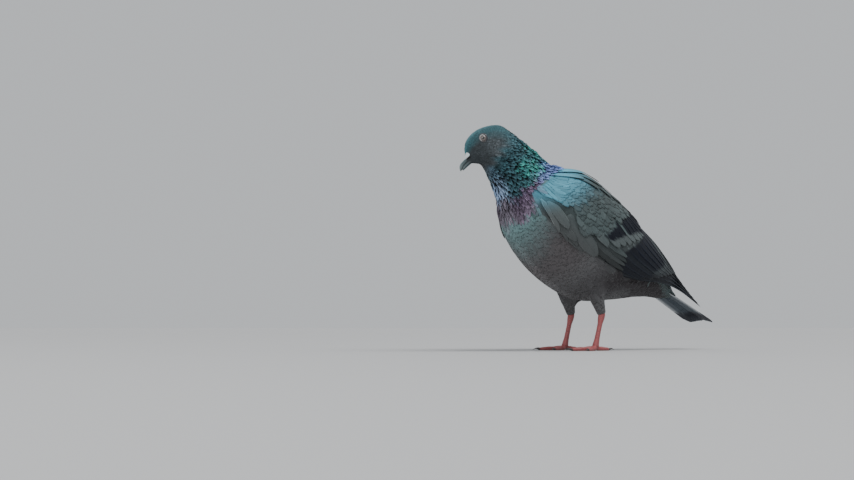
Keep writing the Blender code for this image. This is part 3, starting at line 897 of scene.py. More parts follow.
# Millimetres along the middle line, then spacing, length, half width and rise at the tip
SIZES = curve((
    (0, 0.6, 2.0, 0.50, 0.12), (18, 0.7, 2.6, 0.60, 0.14), (32, 1.0, 3.8, 0.95, 0.25),
    (40, 2.0, 7.0, 1.7, 0.9), (58, 3.0, 10.0, 2.7, 1.6), (72, 2.6, 10.0, 2.3, 1.0),
    (85, 2.1, 11.0, 2.5, 0.18), (110, 2.2, 13.0, 3.2, 0.13), (150, 2.5, 15.0, 3.8, 0.15),
    (230, 3.2, 18.0, 4.4, 0.6), (300, 4.0, 20.0, 5.0, 0.9),
))
# The same for the wing, by the place behind
WING_SIZES = curve((
    (-44, 2.4, 10, 2.5, 0.30), (-20, 3.0, 12, 3.2, 0.35), (10, 4.2, 16, 4.5, 0.45), (60, 5.4, 20, 6.0, 0.7),
))
EYE_CLEAR = 3.5  # mm from the eye's middle that stay free of feathers
SHANK_BARE, BILL_CLEAR = 34, 0.9  # height in mm that the feathers end above, and their distance from the bill

# Rows, columns, outline as in Vanes.outline, the root's tone, contrast, and mm of thickness and root's height
KINDS = {
    "head": (5, 3, (0.5, 0.5, 0.6, 0.35, 0.10), 0.92, 0.22, 0.06, -0.25),
    "neck": (7, 5, (0.4, 0.55, 0.6, 0.34, 0.14), 0.75, 0.25, 0.14, -0.25),
    "body": (7, 7, (0.4, 0.6, 0.95, 0.24, 0.04), 0.97, 0.05, 0.04, -0.03),
    "wing": (8, 7, (0.4, 0.5, 0.85, 0.34, 0.06), 0.96, 0.11, 0.06, -0.25),
}


def eye_spot(side):
    return np.array(HEAD_FRAME @ Vector((EYE_PLACE.x, EYE_PLACE.y * side, EYE_PLACE.z)))


def eye_axis(side):
    return unit(HEAD_AXES @ np.array((0.22, side, 0.05)))


def from_eye(points):
    """Millimetres from the nearer eye's axis."""
    found = []
    for _, side in SIDES:
        gap = points - eye_spot(side)
        along = gap @ eye_axis(side)
        off = np.linalg.norm(gap - along[:, None] * eye_axis(side), axis=1) / MM
        found.append(np.where(along > 0, off, 99.0))
    return np.minimum(*found)


def sizes_at(points):
    """Spacing, length, half width and rise at the tip of the feathers that grow at places on the skin."""
    along, angle, _ = in_spine(points)
    behind, rise, share = in_body(points)
    below = round_from_back(angle)
    sooner = 34 - np.interp(below, *GREEN_STARTS)
    small, wing = SIZES(along + sooner * (1 - ease(along, 45, 75))), WING_SIZES(behind)
    winged = in_wing(behind, rise, share)
    sizes = small + (wing - small) * winged
    back = (1 - ease(below, 0.25, 0.42)) * ease(along, 105, 150)
    sizes = sizes * (1 + 0.35 * back * (1 - winged))
    nape = (1 - ease(below, 0.2, 0.4)) * within(along, 30, 46, 70, 84)
    sizes[3] = sizes[3] + 1.4 * nape
    throat = ease(below, 0.78, 0.92) * within(along, 34, 40, 78, 88)
    sizes[2] = sizes[2] * (1 - 0.4 * throat)
    near_eye = 1 - ease(from_eye(points), 4, 8)
    sizes = sizes * (1 - 0.25 * near_eye)
    leg = 1 - ease(points[:, 2] / MM, 36, 62)
    return sizes * np.array([1 - 0.45 * leg, 1 - 0.5 * leg, 1 - 0.5 * leg, 1 - 0.5 * leg])


def bare_tree():
    """The solids of bill and cere, which have no feathers on them."""
    points, faces = [], []
    for name in ("bill_upper", "bill_lower", "cere"):
        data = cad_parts[name].data
        faces += (triangles_of(data) + len(points)).tolist()
        points += points_of(data).tolist()
    return BVHTree.FromPolygons(points, faces)


def spacing_at(points):
    """The feathers' spacing in mm; none grow under large feathers or on eyes, cere, bill, shanks and tail."""
    behind, rise, share = in_body(points)
    winged = in_wing(behind, rise, share) > 0.5
    rear, front = past_small(behind, rise)
    ahead, aside, up = in_head(points).T
    level, wide, above, below = cere_at(ahead)
    off = np.hypot(aside / wide, (up - level) / np.where(up > level, above, below))
    near_bill = [BARE_TREE.find_nearest(point)[3] < BILL_CLEAR * MM for point in points.tolist()]
    bare = winged & ((rear > -14) | (front > -8))
    bare |= (under_quills(behind, rise, share) > 0.5) & (behind > 62)
    bare |= from_eye(points) < EYE_CLEAR
    bare |= (ahead > CERE[0][0] - 0.5) & (off < 1.25)
    bare |= points[:, 2] < SHANK_BARE * MM
    bare |= behind > 150
    bare |= np.array(near_bill, bool)
    return np.where(bare, NO_FEATHER, sizes_at(points)[0] * (1.0))


def lie_at(points, normals):
    """Which way the feathers point on the skin."""
    _, _, heading = in_spine(points)
    behind, rise, share = in_body(points)
    _, ahead, up = body_frame(behind)
    down = wing_lie(behind, rise)[:, None]
    turn = np.radians(rise)
    wing = -ahead * np.cos(down) - up * np.sin(down) * np.cos(turn)[:, None]
    wing = wing - np.sin(down) * LEFT * (np.sign(points[:, 1]) * -np.sin(turn))[:, None]
    return square_to(mix(-heading, wing, in_wing(behind, rise, share)), normals)


def painted_glint(along, below, chance):
    """Painted highlight: how bright the green glint painted on each neck feather's tip is, in patches."""
    patch = 0.5 + 0.5 * np.sin(along * 0.5 + 7 * below) * np.sin(along * 0.31 - 11 * below)
    glint = within(along, 38, 48, 58, 66) * (1 - ease(below, 0.55, 0.75))
    glint = glint * (0.1 + 0.9 * patch**2) * (0.4 + 0.6 * ease(below, 0.10, 0.22))
    return 0.8 * glint * (0.4 + 0.6 * chance)


def varied(count, spread, most=1.5):
    """1 and a little more or less for each feather."""
    return 1 + spread * RANDOM.normal(0, 1, count).clip(-most, most)


class Roots:
    """The small feathers' roots, with all that is known of each one."""

    def __init__(self, ground):
        self.place, self.normal = staggered_roots(ground, spacing_at, 7.0, ALONG[-1] - 1)
        lie = lie_at(self.place, self.normal)
        turn = RANDOM.normal(0, 0.05, len(self.place))[:, None]
        self.lie = unit(lie * np.cos(turn) + np.cross(self.normal, lie) * np.sin(turn))
        _, self.length, self.half_width, self.rise = sizes_at(self.place)
        self.half_width = self.half_width * 1.0
        self.along, angle, _ = in_spine(self.place)
        self.below = round_from_back(angle)
        self.colour, self.gap = colour_of(self.place)
        self.spot = unwrap(self.along, angle)
        self.chance = RANDOM.random(len(self.place))
        self.behind, self.up, share = in_body(self.place)
        winged = in_wing(self.behind, self.up, share) > 0.5
        neck_from = np.interp(self.below, *GREEN_STARTS) + 1.5
        neck_to = np.interp(self.below, *NECK_ENDS) + 2
        self.kind = np.where(self.along < neck_from, "head", np.where(self.along < neck_to, "neck", "body"))
        self.kind = np.where(winged, "wing", self.kind)

    def only(self, kind):
        """The roots of one kind."""
        chosen = Roots.__new__(Roots)
        for name, values in vars(self).items():
            setattr(chosen, name, values[self.kind == kind])
        return chosen


def lay_wing_coverts(vanes, roots, length, tips, shape, places, facing):
    """Puts the wing's small feathers on its hull, sunk at the front edge."""
    start = np.stack([roots.behind, roots.up], -1)
    end = over_hull(start, wing_lie(*start.T) + RANDOM.normal(0, 0.05, len(start)), length)
    sunk = column(0.6 * (1 - ease(roots.behind, -42, -30)))
    for _, side in SIDES:
        mine = (roots.place[:, 1] > 0) == (side > 0)
        heights = (-0.8 - sunk[mine], column(0.55 * tips - 0.6)[mine] - sunk[mine], 0.8)
        places[mine], facing[mine] = lay_on_hull(
            vanes, side, start[mine], end[mine], roots.half_width[mine], shape, heights, roll=0.1
        )


def small_feathers(ground, kind, roots):
    """The small feathers of one kind, over the roots of that kind."""
    rows, columns, shape, root_tone, contrast, thick, root_height = KINDS[kind]
    vanes, count = Vanes(rows, columns), len(roots.place)
    length = roots.length * varied(count, 0.12)
    tips = roots.rise * varied(count, 0.25)
    if kind != "wing":  # tips that would reach under the wing stay down
        reached = roots.place + roots.lie * (0.8 * length * MM)[:, None]
        tips = tips - (tips + 0.7) * in_wing(*in_body(reached))
    roll = np.where(roots.place[:, 1] > 0, -0.06, 0.06)
    places, facing = lay_on_skin(ground, vanes, roots, length, shape, root_height, tips, roll)
    if kind == "wing":
        lay_wing_coverts(vanes, roots, length, tips, shape, places, facing)
    base = roots.colour * varied((count, 1), contrast, 2)
    t = vanes.t[..., None]
    from_root = ease(t, 0.5, 0.95)
    dark = roots.gap[:, None, None, None]
    tone = root_tone - 0.93 * dark * (1 - from_root) * root_tone + (1 - root_tone) * from_root
    # painted light: the wing's small feathers lighter toward their tips, to offset the shadows that the tips
    # cast
    colour = base[:, None, None] * (tone + 0.16 * (kind == "wing") * ease(t, 0.8, 1.0))
    if kind == "neck":
        # painted highlight: the neck feathers' tips turn toward a bright green glint, in patches
        glint = painted_glint(roots.along, roots.below, roots.chance)[:, None, None, None]
        colour = colour + (GREEN_GLINT - colour) * glint * ease(t, 0.6, 0.95)
    vanes.add(places, facing, colour, thick, roots.chance, roots.spot)
    return vanes


# ---- The large feathers of wings and tail

class Quills:
    """The wing's or tail's large feathers gathered for one piece."""

    def __init__(self, rows, columns, side=1):
        self.vanes, self.side, self.groups = Vanes(rows, columns), side, []
        self.low = -self.vanes.u * side  # from -1 at a feather's upper margin to 1 at its lower one

    def lay(self, start, end, half_width, shape, heights, **form):
        """Feathers on the hull, with the place behind and the degrees up of each place."""
        places, facing = lay_on_hull(self.vanes, self.side, start, end, half_width, shape, heights, **form)
        behind, rise, _ = in_body(places.reshape(-1, 3))
        return places, facing, behind.reshape(places.shape[:-1]), rise.reshape(places.shape[:-1])

    def tinted(self, base, chance, rim, root, margin=0.0):
        """A large feather's colour: darker at its root, its lower margin paler by margin, and a soft rim."""
        t, low = self.vanes.t[..., None], self.low[..., None]
        base = base * (1 + 0.10 * (column(chance)[..., None] - 0.5))
        tone = root + (1 - root) * ease(t, 0.15, 0.6)
        return base * tone * (1 + rim * ease(np.abs(low), 0.8, 1.0) + margin * ease(low, 0.62, 0.92))

    def add(self, places, facing, colours, thick, chance):
        self.groups.append((places, facing, colours, np.full(len(places), thick), chance))

    def build(self, name, material, slot, *nodes, across=16):
        """One piece of all groups; each feather gets a cell of its own on the map, 16 to a row."""
        group = [np.concatenate(each) for each in zip(*self.groups)]
        i = np.arange(len(group[0]))
        down = math.ceil(len(i) / across)
        cells = np.stack([(i % across + 0.5) / across, (i // across + 0.5) / down], -1)
        self.vanes.add(*group, cells, (0.44 / across, 0.46 / down))
        self.vanes.build(name, material, slot, *nodes)


# Feathers of the wing's front and lower edge, from the innermost out: start behind and up, end behind and up,
# half width, shade, paler margin, height at the tip
HAND = np.array((
    (-2, -17, 66, -29, 4.2, 0.45, 0.9, -1.6), (0, -14, 64, -23, 3.6, 0.65, 1.0, -1.4),
    (4, -11, 63, -18, 3.2, 0.50, 1.2, -1.2), (6, -8, 60, -13, 3.4, 0.80, 0.9, -1.0),
    (-14, -24, 20, -35, 4.6, 0.75, 0.9, -1.0), (-12, -12, 33, -31.5, 8.0, 0.86, 0.45, -0.5),
    (-33, -9, 2, -36, 2.6, 0.80, 1.4, -0.7), (-29, -12, 12, -34.5, 3.2, 0.72, 1.3, -0.5),
    (-18, -20, 8, -31, 3.6, 0.80, 0.7, -0.2), (-35, -5, -9, -33, 2.4, 0.95, 1.6, -0.2),
    (-30, -5, -5, -25, 4.4, 0.95, 0.4, 0.1),
))
# Feathers of the shoulder's and back's upper edge, in the same numbers, but all with the same dark margin,
# which is painted shade of the gap along each one's lower edge
SCAPULARS = np.array((
    (10, 70, 60, 68, 7.0, 0.70, 0.0), (4, 60, 56, 58, 6.0, 0.80, 0.1), (-4, 66, 42, 62, 6.5, 0.95, 0.5),
    (-6, 54, 38, 50, 5.2, 0.85, 0.5), (-16, 60, 26, 55, 5.5, 1.00, 0.9), (-14, 49, 22, 42, 4.6, 0.95, 0.7),
    (-26, 66, 12, 62, 6.0, 1.10, 1.2), (-24, 54, 10, 47, 4.6, 1.05, 1.2), (-24, 46, 6, 37, 3.8, 1.00, 1.0),
    (-34, 60, -6, 56, 5.0, 1.25, 1.3), (-34, 48, -10, 41, 3.8, 1.20, 1.2),
))
# By degrees up, the place behind of the secondaries' tips and of both bars' edges
SECONDARY_TIPS = (-27, -12, 14, 34, 60), (91, 111, 128, 137, 135)
REAR_BAR = (-30, -8, 12, 24, 32, 42, 70), (50, 57, 65, 67, 52, 42, 38)
FRONT_BAR = (-9, 2, 9, 14, 20, 30, 42), (26, 30, 33, 31, 33, 40, 46)
FRONT_BAR_ENDS = (-9, 2, 9, 14, 20, 27, 32), (34, 44, 48, 53, 57, 63, 95)


def primaries(quills, count=7):
    """The hand's long feathers: the lowest is the longest and lies innermost."""
    start, end = np.linspace((44, -27), (72, 30), count), np.linspace((186, 27), (146, 52), count)
    chance = RANDOM.random(count)
    heights = (column(np.linspace(-3.5, -3.0, count)), column(np.linspace(-2.4, -1.4, count)), 1.0)
    places, facing, _, _ = quills.lay(
        start, end, np.linspace(7.0, 9.0, count), (0.5, 0.25, 0.42, 0.30, 0.02), heights,
        bend=np.linspace(-4.0, 0.0, count),
    )
    colour = np.broadcast_to(FLIGHT, places.shape)
    quills.add(places, facing, quills.tinted(colour, chance, 0.1, 0.9, 1.2), 0.35, chance)


def secondaries(quills, count=13):
    """Secondaries and tertials: grey, with the rear black bar across them."""
    level = np.linspace(-25, 54, count)
    end = np.stack([np.interp(level, *SECONDARY_TIPS), level], -1)
    start = over_hull(end, np.radians(np.linspace(4, 20, count)), -np.linspace(66, 74, count))
    chance = RANDOM.random(count)
    heights = (column(np.linspace(-3.1, -2.7, count)), column(np.linspace(-1.8, -0.6, count)), 1.0)
    places, facing, behind, rise = quills.lay(
        start, end, np.linspace(7.5, 10.0, count), (0.6, 0.2, 0.72, 0.24, 0.02), heights, roll=0.40
    )
    bar_from = np.interp(rise, *REAR_BAR) + 3 * column(chance - 0.5)
    bar = within(behind, bar_from - 1.0, bar_from + 1.0, bar_from + 42, bar_from + 48)
    low = 1 - ease(rise, -16, -4)
    colour = mix(PALE_WING, FLIGHT * 1.3, low)
    colour = mix(colour, FLIGHT * 1.2, ease(behind, bar_from + 40, bar_from + 52) * 0.7)
    colour = mix(colour, BAR, bar * (1 - 0.35 * low))
    quills.add(places, facing, quills.tinted(colour, chance, 0.1, 0.9, 0.9), 0.32, chance)


def greater_coverts(quills, count=14):
    """Greater coverts, with the front black bar across them and pale tips behind it."""
    level = np.linspace(-16, 62, count)
    end = np.stack([COVERT_TIPS(level)[0] + RANDOM.normal(0, 0.8, count), level], -1)
    start = over_hull(end, wing_lie(*end.T), -48)
    chance = RANDOM.random(count)
    places, facing, behind, rise = quills.lay(
        start, end, np.full(count, 6.0), (0.5, 0.35, 0.85, 0.26, 0.03),
        (-2.1, column(0.3 * chance - 0.3), 0.8), camber=0.35, roll=0.25,
    )
    ragged = 2.0 * column(chance - 0.5) + 0.8 * np.sin(quills.vanes.u * 9 + 20 * column(chance))
    bar_from, bar_to = np.interp(rise, *FRONT_BAR) + ragged, np.interp(rise, *FRONT_BAR_ENDS) + ragged
    bar = within(behind, bar_from - 0.7, bar_from + 0.7, bar_to - 0.7, bar_to + 0.7)
    streaked = column((level > 4) & (level < 12))  # a pale margin crosses the bar in the photograph
    bar = bar * ease(rise, -11, -8) * (1 - ease(quills.low, 0.45, 0.6) * streaked)
    colour = mix(wing_colour_and_shade(behind, rise), PALE_WING * 1.1, ease(behind, bar_to - 4, bar_to))
    colour = mix(colour, BAR, bar)
    quills.add(places, facing, quills.tinted(colour, chance, 0.12, 0.85, 0.35), 0.3, chance)


def edge_feathers(quills, rows, inner):
    """The long feathers of the wing's lower edge, which lie deeper, or of its upper edge."""
    chance = RANDOM.random(len(rows))
    places, facing, behind, rise = quills.lay(
        rows[:, :2], rows[:, 2:4], rows[:, 4], (0.35, 0.3, 0.8, 0.26, 0.03),
        (-1.0 - inner, column(rows[:, -1]), 0.8), bend=-1.0 * inner, camber=0.5, roll=0.3,
    )
    colour = wing_colour_and_shade(behind, rise) * column(rows[:, 5])[..., None]
    low = quills.low
    if inner:
        pale = column(rows[:, 6]) * ease(low, 0.80, 0.96) * 1.5
        colour = quills.tinted(colour, chance, 0.1, 0.9) * (1 + pale)[..., None]
    else:
        # painted shade: a dark band along each upper-edge feather's lower margin stands for the shadowed gap
        # below it
        dark = ease(low, 0.55, 0.7) * (1 - 0.5 * ease(low, 0.9, 1.0))
        pale = ease(low, 0.25, 0.5) * (1 - dark)
        colour = quills.tinted(colour, chance, 0.1, 0.85) * (1 + 0.35 * pale - 0.75 * dark)[..., None]
    quills.add(places, facing, colour, 0.3, chance)


def wing_feathers(side):
    """One wing's flight feathers and its coverts, each from the innermost layer out."""
    flight, coverts = Quills(30, 11, side), Quills(26, 11, side)
    primaries(flight)
    secondaries(flight)
    greater_coverts(coverts)
    edge_feathers(coverts, HAND, True)
    edge_feathers(coverts, SCAPULARS, False)
    return flight, coverts


def tail_feathers():
    """Twelve feathers, the middle pair on top, with the dark band across their ends."""
    quills = Quills(34, 13)
    pair, side = np.repeat(np.arange(6), 2), column(np.tile((1.0, -1.0), 6))
    chance = RANDOM.random(12)
    along, out = quills.vanes.outline(12, 0.45, 0.6, 0.88, 0.09, 0.012)
    behind = 108 + along * column(94 - 0.5 * pair)
    middle = side * (column(1.0 + 0.9 * pair) + column(1.6 + 1.25 * pair) * along)
    y = middle + out * column(7.2 - 0.35 * pair)
    level = np.interp(behind, (112, 135, 160, 202), (9, 9.5, 9.5, 8.6))
    z = level + 1.3 - column(0.48 * pair) - 0.002 * y**2 - 0.25 * out * side
    origin, _, up = body_frame(behind)
    places = origin + (y[..., None] * LEFT + z[..., None] * up) * MM
    band = ease(behind, 178, 183) * (1 - 0.5 * ease(behind, 197, 202))
    colour = mix(TAIL_GREY, BAR * 1.6, band)
    outer = column(pair == 5) * ease(out * side, 0.1, 0.5) * (1 - ease(behind, 176, 180))
    colour = quills.tinted(mix(colour, TAIL_EDGE, outer), chance, 0.12, 0.8)
    order = np.argsort(-pair, kind="stable")
    quills.add(places[order], up[order], colour[order], 0.35, chance[order])
    return quills


# ---- Eyes, bill and cere

PUPIL, PUPIL_RIM = np.array(((0.004, 0.004, 0.004), (0.02, 0.015, 0.015)))
IRIS, IRIS_RIM = np.array(((0.150, 0.122, 0.110), (0.085, 0.070, 0.066)))
LID_RIM, LID, LID_FOLD, LID_SHADE = np.array((
    (0.09, 0.07, 0.07), (0.50, 0.51, 0.51), (0.055, 0.062, 0.070), (0.018, 0.016, 0.024),
))
# The dark bill root is partly the horn's own colour and partly painted shade under the cere
BILL_ROOT_AND_SHADE, BILL_HORN, BILL_TIP = np.array(((0.022, 0.028, 0.032), (0.046, 0.076, 0.082), (0.15, 0.19, 0.19)))
# The cere's second colour is painted shade for its underside
CERE_WHITE, CERE_UNDER_SHADE = np.array(((0.72, 0.78, 0.80), (0.060, 0.068, 0.072)))
CORNEA_RISE, CORNEA_SPREAD = 0.30, math.radians(26)
# Height along the eye's axis, radius, and share of the drop's shape, from the ring's inner edge out
LID_PROFILE = (
    (3.4, 2.30, 1), (4.4, 2.40, 1), (4.80, 2.50, 1), (4.98, 2.62, 1), (5.05, 2.76, 1), (4.99, 2.92, 1),
    (4.87, 3.02, 1), (4.88, 3.12, 0.9), (4.78, 3.26, 0.8), (4.62, 3.36, 0.7), (4.52, 3.48, 0.6),
    (4.28, 3.66, 0.5), (3.95, 3.86, 0.4), (3.4, 4.05, 0.3), (2.6, 4.0, 0.2),
)
# The nostrils are black lobes, sized to stand also for the shade under the cere: partly real nostrils, partly
# painted shade.
NOSTRIL_AND_SHADE = ((15.6, -5.2, 0.3, 0.1, 0.1), (17.5, -5.0, 0.9, 0.75, 0.6), (21.5, -4.4, 0.8, 0.6, 0.5),
           (23.8, -4.8, 0.3, 0.1, 0.1))
NOSTRIL_OUT = (16, 18, 20, 22, 24), (5.2, 4.7, 3.9, 3.1, 2.4)  # by mm ahead, how far out to the side


def eye_rings(side, profile, segments):
    """Rings about the eye's axis from heights, radii and shares of a drop's shape, and the rings' angles."""
    axis = eye_axis(side)
    up = square_to(HEAD_AXES[:, 2], axis)
    ahead = np.cross(up, axis) * side
    turn = circle(segments)
    drop = 0.30 * np.exp(-(((turn - 1.42 * np.pi) / 0.42) ** 2)) - 0.10 * np.cos(turn) ** 2
    ring = np.cos(turn)[:, None] * ahead + np.sin(turn)[:, None] * up
    rings = []
    for height, radius, lid in profile:
        reach = radius * (1 + lid * drop)
        rings.append(eye_spot(side) + (axis * height + ring * reach[:, None]) * MM)
    return np.array(rings), turn


def make_eye(word, side, materials):
    """The eyeball with its pupil and iris, and the bare ring with its folds, drawn out below like a drop; the
    ring is painted pale on its upper rear, where light falls, and dark in front by painted shade.
    """
    angles = np.radians(np.concatenate([np.linspace(0.5, 60, 60), np.linspace(64, 178, 24)]))
    height = (EYE_RADIUS + CORNEA_RISE * np.exp(-((angles / CORNEA_SPREAD) ** 4))) * np.cos(angles)
    radius = EYE_RADIUS * np.sin(angles)
    rings, turn = eye_rings(side, [(h, r, 0) for h, r in zip(height, radius)], 64)
    off = np.where(angles > 1.6, 9.0, 1.0)[:, None] * radius[:, None]
    streak = 0.5 + 0.5 * np.sin(turn * 23 + 2 * np.sin(turn * 7))
    iris = mix(IRIS, IRIS_RIM, ease(off, 1.6, 2.6)) * (0.85 + 0.3 * streak)[:, None]
    colour = mix(mix(PUPIL, iris, ease(off, 1.1, 1.3)), PUPIL_RIM, ease(off, 2.5, 2.8))
    lofted("eyeball_" + word, rings, materials["eye"], "eye", colour, "eye_" + word)
    rings, turn = eye_rings(side, LID_PROFILE, 80)
    outward = np.linspace(0, 1, len(LID_PROFILE))[:, None]
    # painted light and shade: the ring pale on its upper rear side, where light falls, and dark toward the
    # front
    pale = ease(np.cos(turn - 0.74 * np.pi), -0.25, 0.45)
    colour = mix(LID_RIM, LID * (0.14 + 0.86 * pale)[:, None], ease(outward, 0.08, 0.25))
    colour = mix(colour, mix(LID_SHADE, LID_FOLD, pale), ease(outward, 0.38, 0.60))
    lofted("eyelid_" + word, rings, materials["lid"], "cere_skin", colour)


def head_rings(rows, count, around, shape):
    """Rings across the head's axis through sections; shape changes each ring's sideways and upward places."""
    ahead = np.linspace(rows[0][0], rows[-1][0], count)[:, None]
    turn = circle(around)
    level, wide, above, below = curve(rows)(ahead)
    reach = np.where(np.sin(turn) > 0, above, below)
    y, z = shape(ahead, turn, wide * np.cos(turn), level + reach * np.sin(turn))
    places = np.stack(np.broadcast_arrays(ahead, y, z), -1)
    return HEAD_MIDDLE + places @ HEAD_AXES.T * MM, ahead, turn


def upper_shape(ahead, turn, y, z):
    """A ridge along the top toward the tip, and cutting edges that fall below the sides."""
    ridge = 0.22 * np.exp(-((turn - np.pi / 2) / 0.35) ** 2)
    edge = -0.25 * np.exp(-(np.abs(np.sin(turn) + 0.6) / 0.2) ** 2)
    return y, z + ridge * ease(ahead, 24, 30) + edge * ease(ahead, 16, 22)


def cere_shape(ahead, turn, y, z):
    """Two swollen lobes with a groove between them, drooping at the sides over the bill's root."""
    groove = 0.75 * np.exp(-((turn - np.pi / 2) / 0.30) ** 2) * within(ahead, 15, 18, 23, 24.6)
    swell = 1 + 0.10 * np.sin(turn) * ease(ahead, 16, 20)
    droop = np.interp(ahead, (12, 17, 21, 23), (2.8, 2.6, 1.0, 0.0)) * np.cos(turn) ** 2
    return y * swell, z - groove - droop


def make_bill(materials):
    """Both halves of the bill, darker at the root, partly by painted shade under the cere, with a painted
    highlight along the upper ridge and painted shade along the cutting edges where the halves meet; the cere,
    darker underneath by painted shade, and the black nostrils, which also stand for the shade under the cere.
    """
    for name, node, rows, shape in (
        ("bill_top", "bill_upper", UPPER_BILL, upper_shape),
        ("bill_bottom", "bill_lower", LOWER_BILL, lambda ahead, turn, y, z: (y, z)),
    ):
        rings, ahead, turn = head_rings(rows, 60, 48, shape)
        # painted highlight along the top of the upper bill, painted shade on its underside; the lower bill
        # gets painted shade on top, under the upper one
        ridge_highlight, edge = ease(np.sin(turn), 0.55, 0.95), ease(-np.sin(turn), 0.25, 0.6)
        if name == "bill_bottom":
            ridge_highlight, edge = 0 * ridge_highlight, ease(np.sin(turn), 0.3, 0.8)
        # the dark root is partly painted shade under the cere
        colour = mix(mix(BILL_ROOT_AND_SHADE, BILL_HORN, ease(ahead, 20, 26)), BILL_TIP, ease(ahead, 27, 33.5))
        lofted(name, rings, materials["horn"], "horn", colour * (1 + 1.3 * ridge_highlight - 0.7 * edge)[:, None], node)
    rings, _, turn = head_rings(CERE, 44, 56, cere_shape)
    # painted shade: the cere darker on its underside
    colour = mix(CERE_WHITE, CERE_UNDER_SHADE, ease(-np.sin(turn), 0.10, 0.45))
    lofted("nose_cere", rings, materials["cere"], "cere_skin", colour, "cere")
    # black nostrils, enlarged as painted shade under the cere
    for word, side in SIDES:
        rings, _, _ = head_rings(
            NOSTRIL_AND_SHADE, 20, 20, lambda ahead, turn, y, z: (y + side * np.interp(ahead, *NOSTRIL_OUT), z)
        )
        lofted("nostril_and_shade_" + word, rings, materials["dark"], "horn", BLACK)


# ---- Feet and claws

# Degrees outward and length of the toes, then radii and heights over the floor by share of a length
TOES = (("inner", -27, 21), ("middle", 4, 27), ("outer", 34, 21), ("hind", 176, 14))
SHANK_SHARES, SHANK_RADII = (-0.12, 0.0, 0.14, 0.3, 0.75, 1.0), (2.0, 2.9, 2.7, 2.1, 2.2, 3.0)
TOE_SHARES = (-0.06, 0.14, 0.36, 0.6, 0.85, 1.0)
TOE_RADII, TOE_LIFTS = (2.1, 2.0, 1.95, 1.75, 1.6, 1.0), (1.2, 0.5, 0.0, 0.0, 0.0, 0.5)
SHANK_END, SOLE_CUT, CLAW_LENGTH, CLAW_GAP, CLAW_RADIUS = 3.4, 0.4, 6.5, 0.35, 0.95
SCALE_BAND, SCALE_RELIEF = 1.45, 0.16  # distance from scale to scale, and their height
FOOT_VOXEL = 0.32 * MM
ROSE, DUSKY, PAD = np.array(((0.36, 0.085, 0.085), (0.20, 0.050, 0.055), (0.42, 0.20, 0.17)))
CLAW_ROOT, CLAW_TIP = np.array(((0.035, 0.03, 0.03), (0.10, 0.085, 0.075)))


def sweep(points, radii, around):
    """Rings round a line of points."""
    heading = unit(np.gradient(points, axis=0))
    across = unit(np.cross(heading, np.where(np.abs(heading[:, 2:]) > 0.8, (1.0, 0, 0), UP)))
    other = np.cross(heading, across)
    turn = circle(around)
    ring = np.cos(turn)[None, :, None] * across[:, None] + np.sin(turn)[None, :, None] * other[:, None]
    return points[:, None] + ring * radii[:, None, None]


def toe_heading(degrees, side):
    turn = math.radians(degrees)
    return np.array((math.cos(turn), side * math.sin(turn), 0))


def toe_points(degrees, length, side, shares, radius, lifts):
    """Places along a toe's middle, which lies its radius above the floor, less the flat under it."""
    start = np.array((FOOT.x, FOOT.y * side, 0))
    rise = (radius - SOLE_CUT + lifts) * MM
    return start + toe_heading(degrees, side) * (length * MM) * shares[:, None] + rise[:, None] * UP


def foot_rings(side):
    """The rings and middle lines of the shank and the four toes."""
    ankle = np.array((ANKLE.x, ANKLE.y * side, ANKLE.z))
    ball = np.array((FOOT.x, FOOT.y * side, SHANK_END * MM))
    shares = np.linspace(SHANK_SHARES[0], SHANK_SHARES[-1], 40)
    lines = [ankle + (ball - ankle) * shares[:, None]]
    rings = [sweep(lines[0], curve(tuple(zip(SHANK_SHARES, SHANK_RADII)))(shares)[0] * MM, 20)]
    shares = np.linspace(TOE_SHARES[0], TOE_SHARES[-1], 30)
    radii, lifts = curve(tuple(zip(TOE_SHARES, TOE_RADII, TOE_LIFTS)))(shares)
    for toe, degrees, length in TOES:
        joints = 2 if toe == "hind" else 3
        knuckle = 1 + 0.07 * np.cos(np.linspace(0, 1, len(radii)) * 2 * np.pi * joints)
        lines.append(toe_points(degrees, length, side, shares, radii, lifts))
        rings.append(sweep(lines[-1], radii * MM * knuckle, 18))
    return rings, lines


def make_foot(word, side, materials):
    """Shank and toes fused, with bands of scales in front and on top, knuckles, and pads under the toes."""
    mesh = bmesh.new()
    rings, lines = foot_rings(side)
    for each in rings:
        add_tube(mesh, each)
    bmesh.ops.recalc_face_normals(mesh, faces=mesh.faces)
    name = "scaled_foot_" + word
    foot = smoothed(mesh_object(name, mesh_from(name, mesh)), 0.6, 5, FOOT_VOXEL)
    points, normals = points_of(foot.data), normals_of(foot.data)
    near = ((points[:, None] - np.concatenate(lines)) ** 2).sum(-1).argmin(1)
    along = np.concatenate([millimetres(line) for line in lines])[near]
    front = np.where(near < len(lines[0]), normals[:, 0], normals[:, 2])
    band = (along / SCALE_BAND) % 1.0
    plate = ease(front, 0.0, 0.5) * (ease(band, 0.0, 0.16) - 0.6 * ease(band, 0.9, 1.0))
    grain = 0.06 * np.sin(points / MM * 9).prod(1)
    under = ease(-normals[:, 2], 0.2, 0.7)
    pads = 0.12 * np.sin(along * 2.2) * under
    points = points + normals * ((SCALE_RELIEF * plate + grain + pads) * MM)[:, None]
    points[:, 2] = np.maximum(points[:, 2], 0.0)
    move_points(foot, points)
    paint(foot.data, "plumage", mix(mix(DUSKY, ROSE, 0.45 + 0.55 * plate), PAD, 0.5 * under))
    foot.data.shade_smooth()
    dressed(foot, materials["leg"], "leg_skin", "foot_" + word)


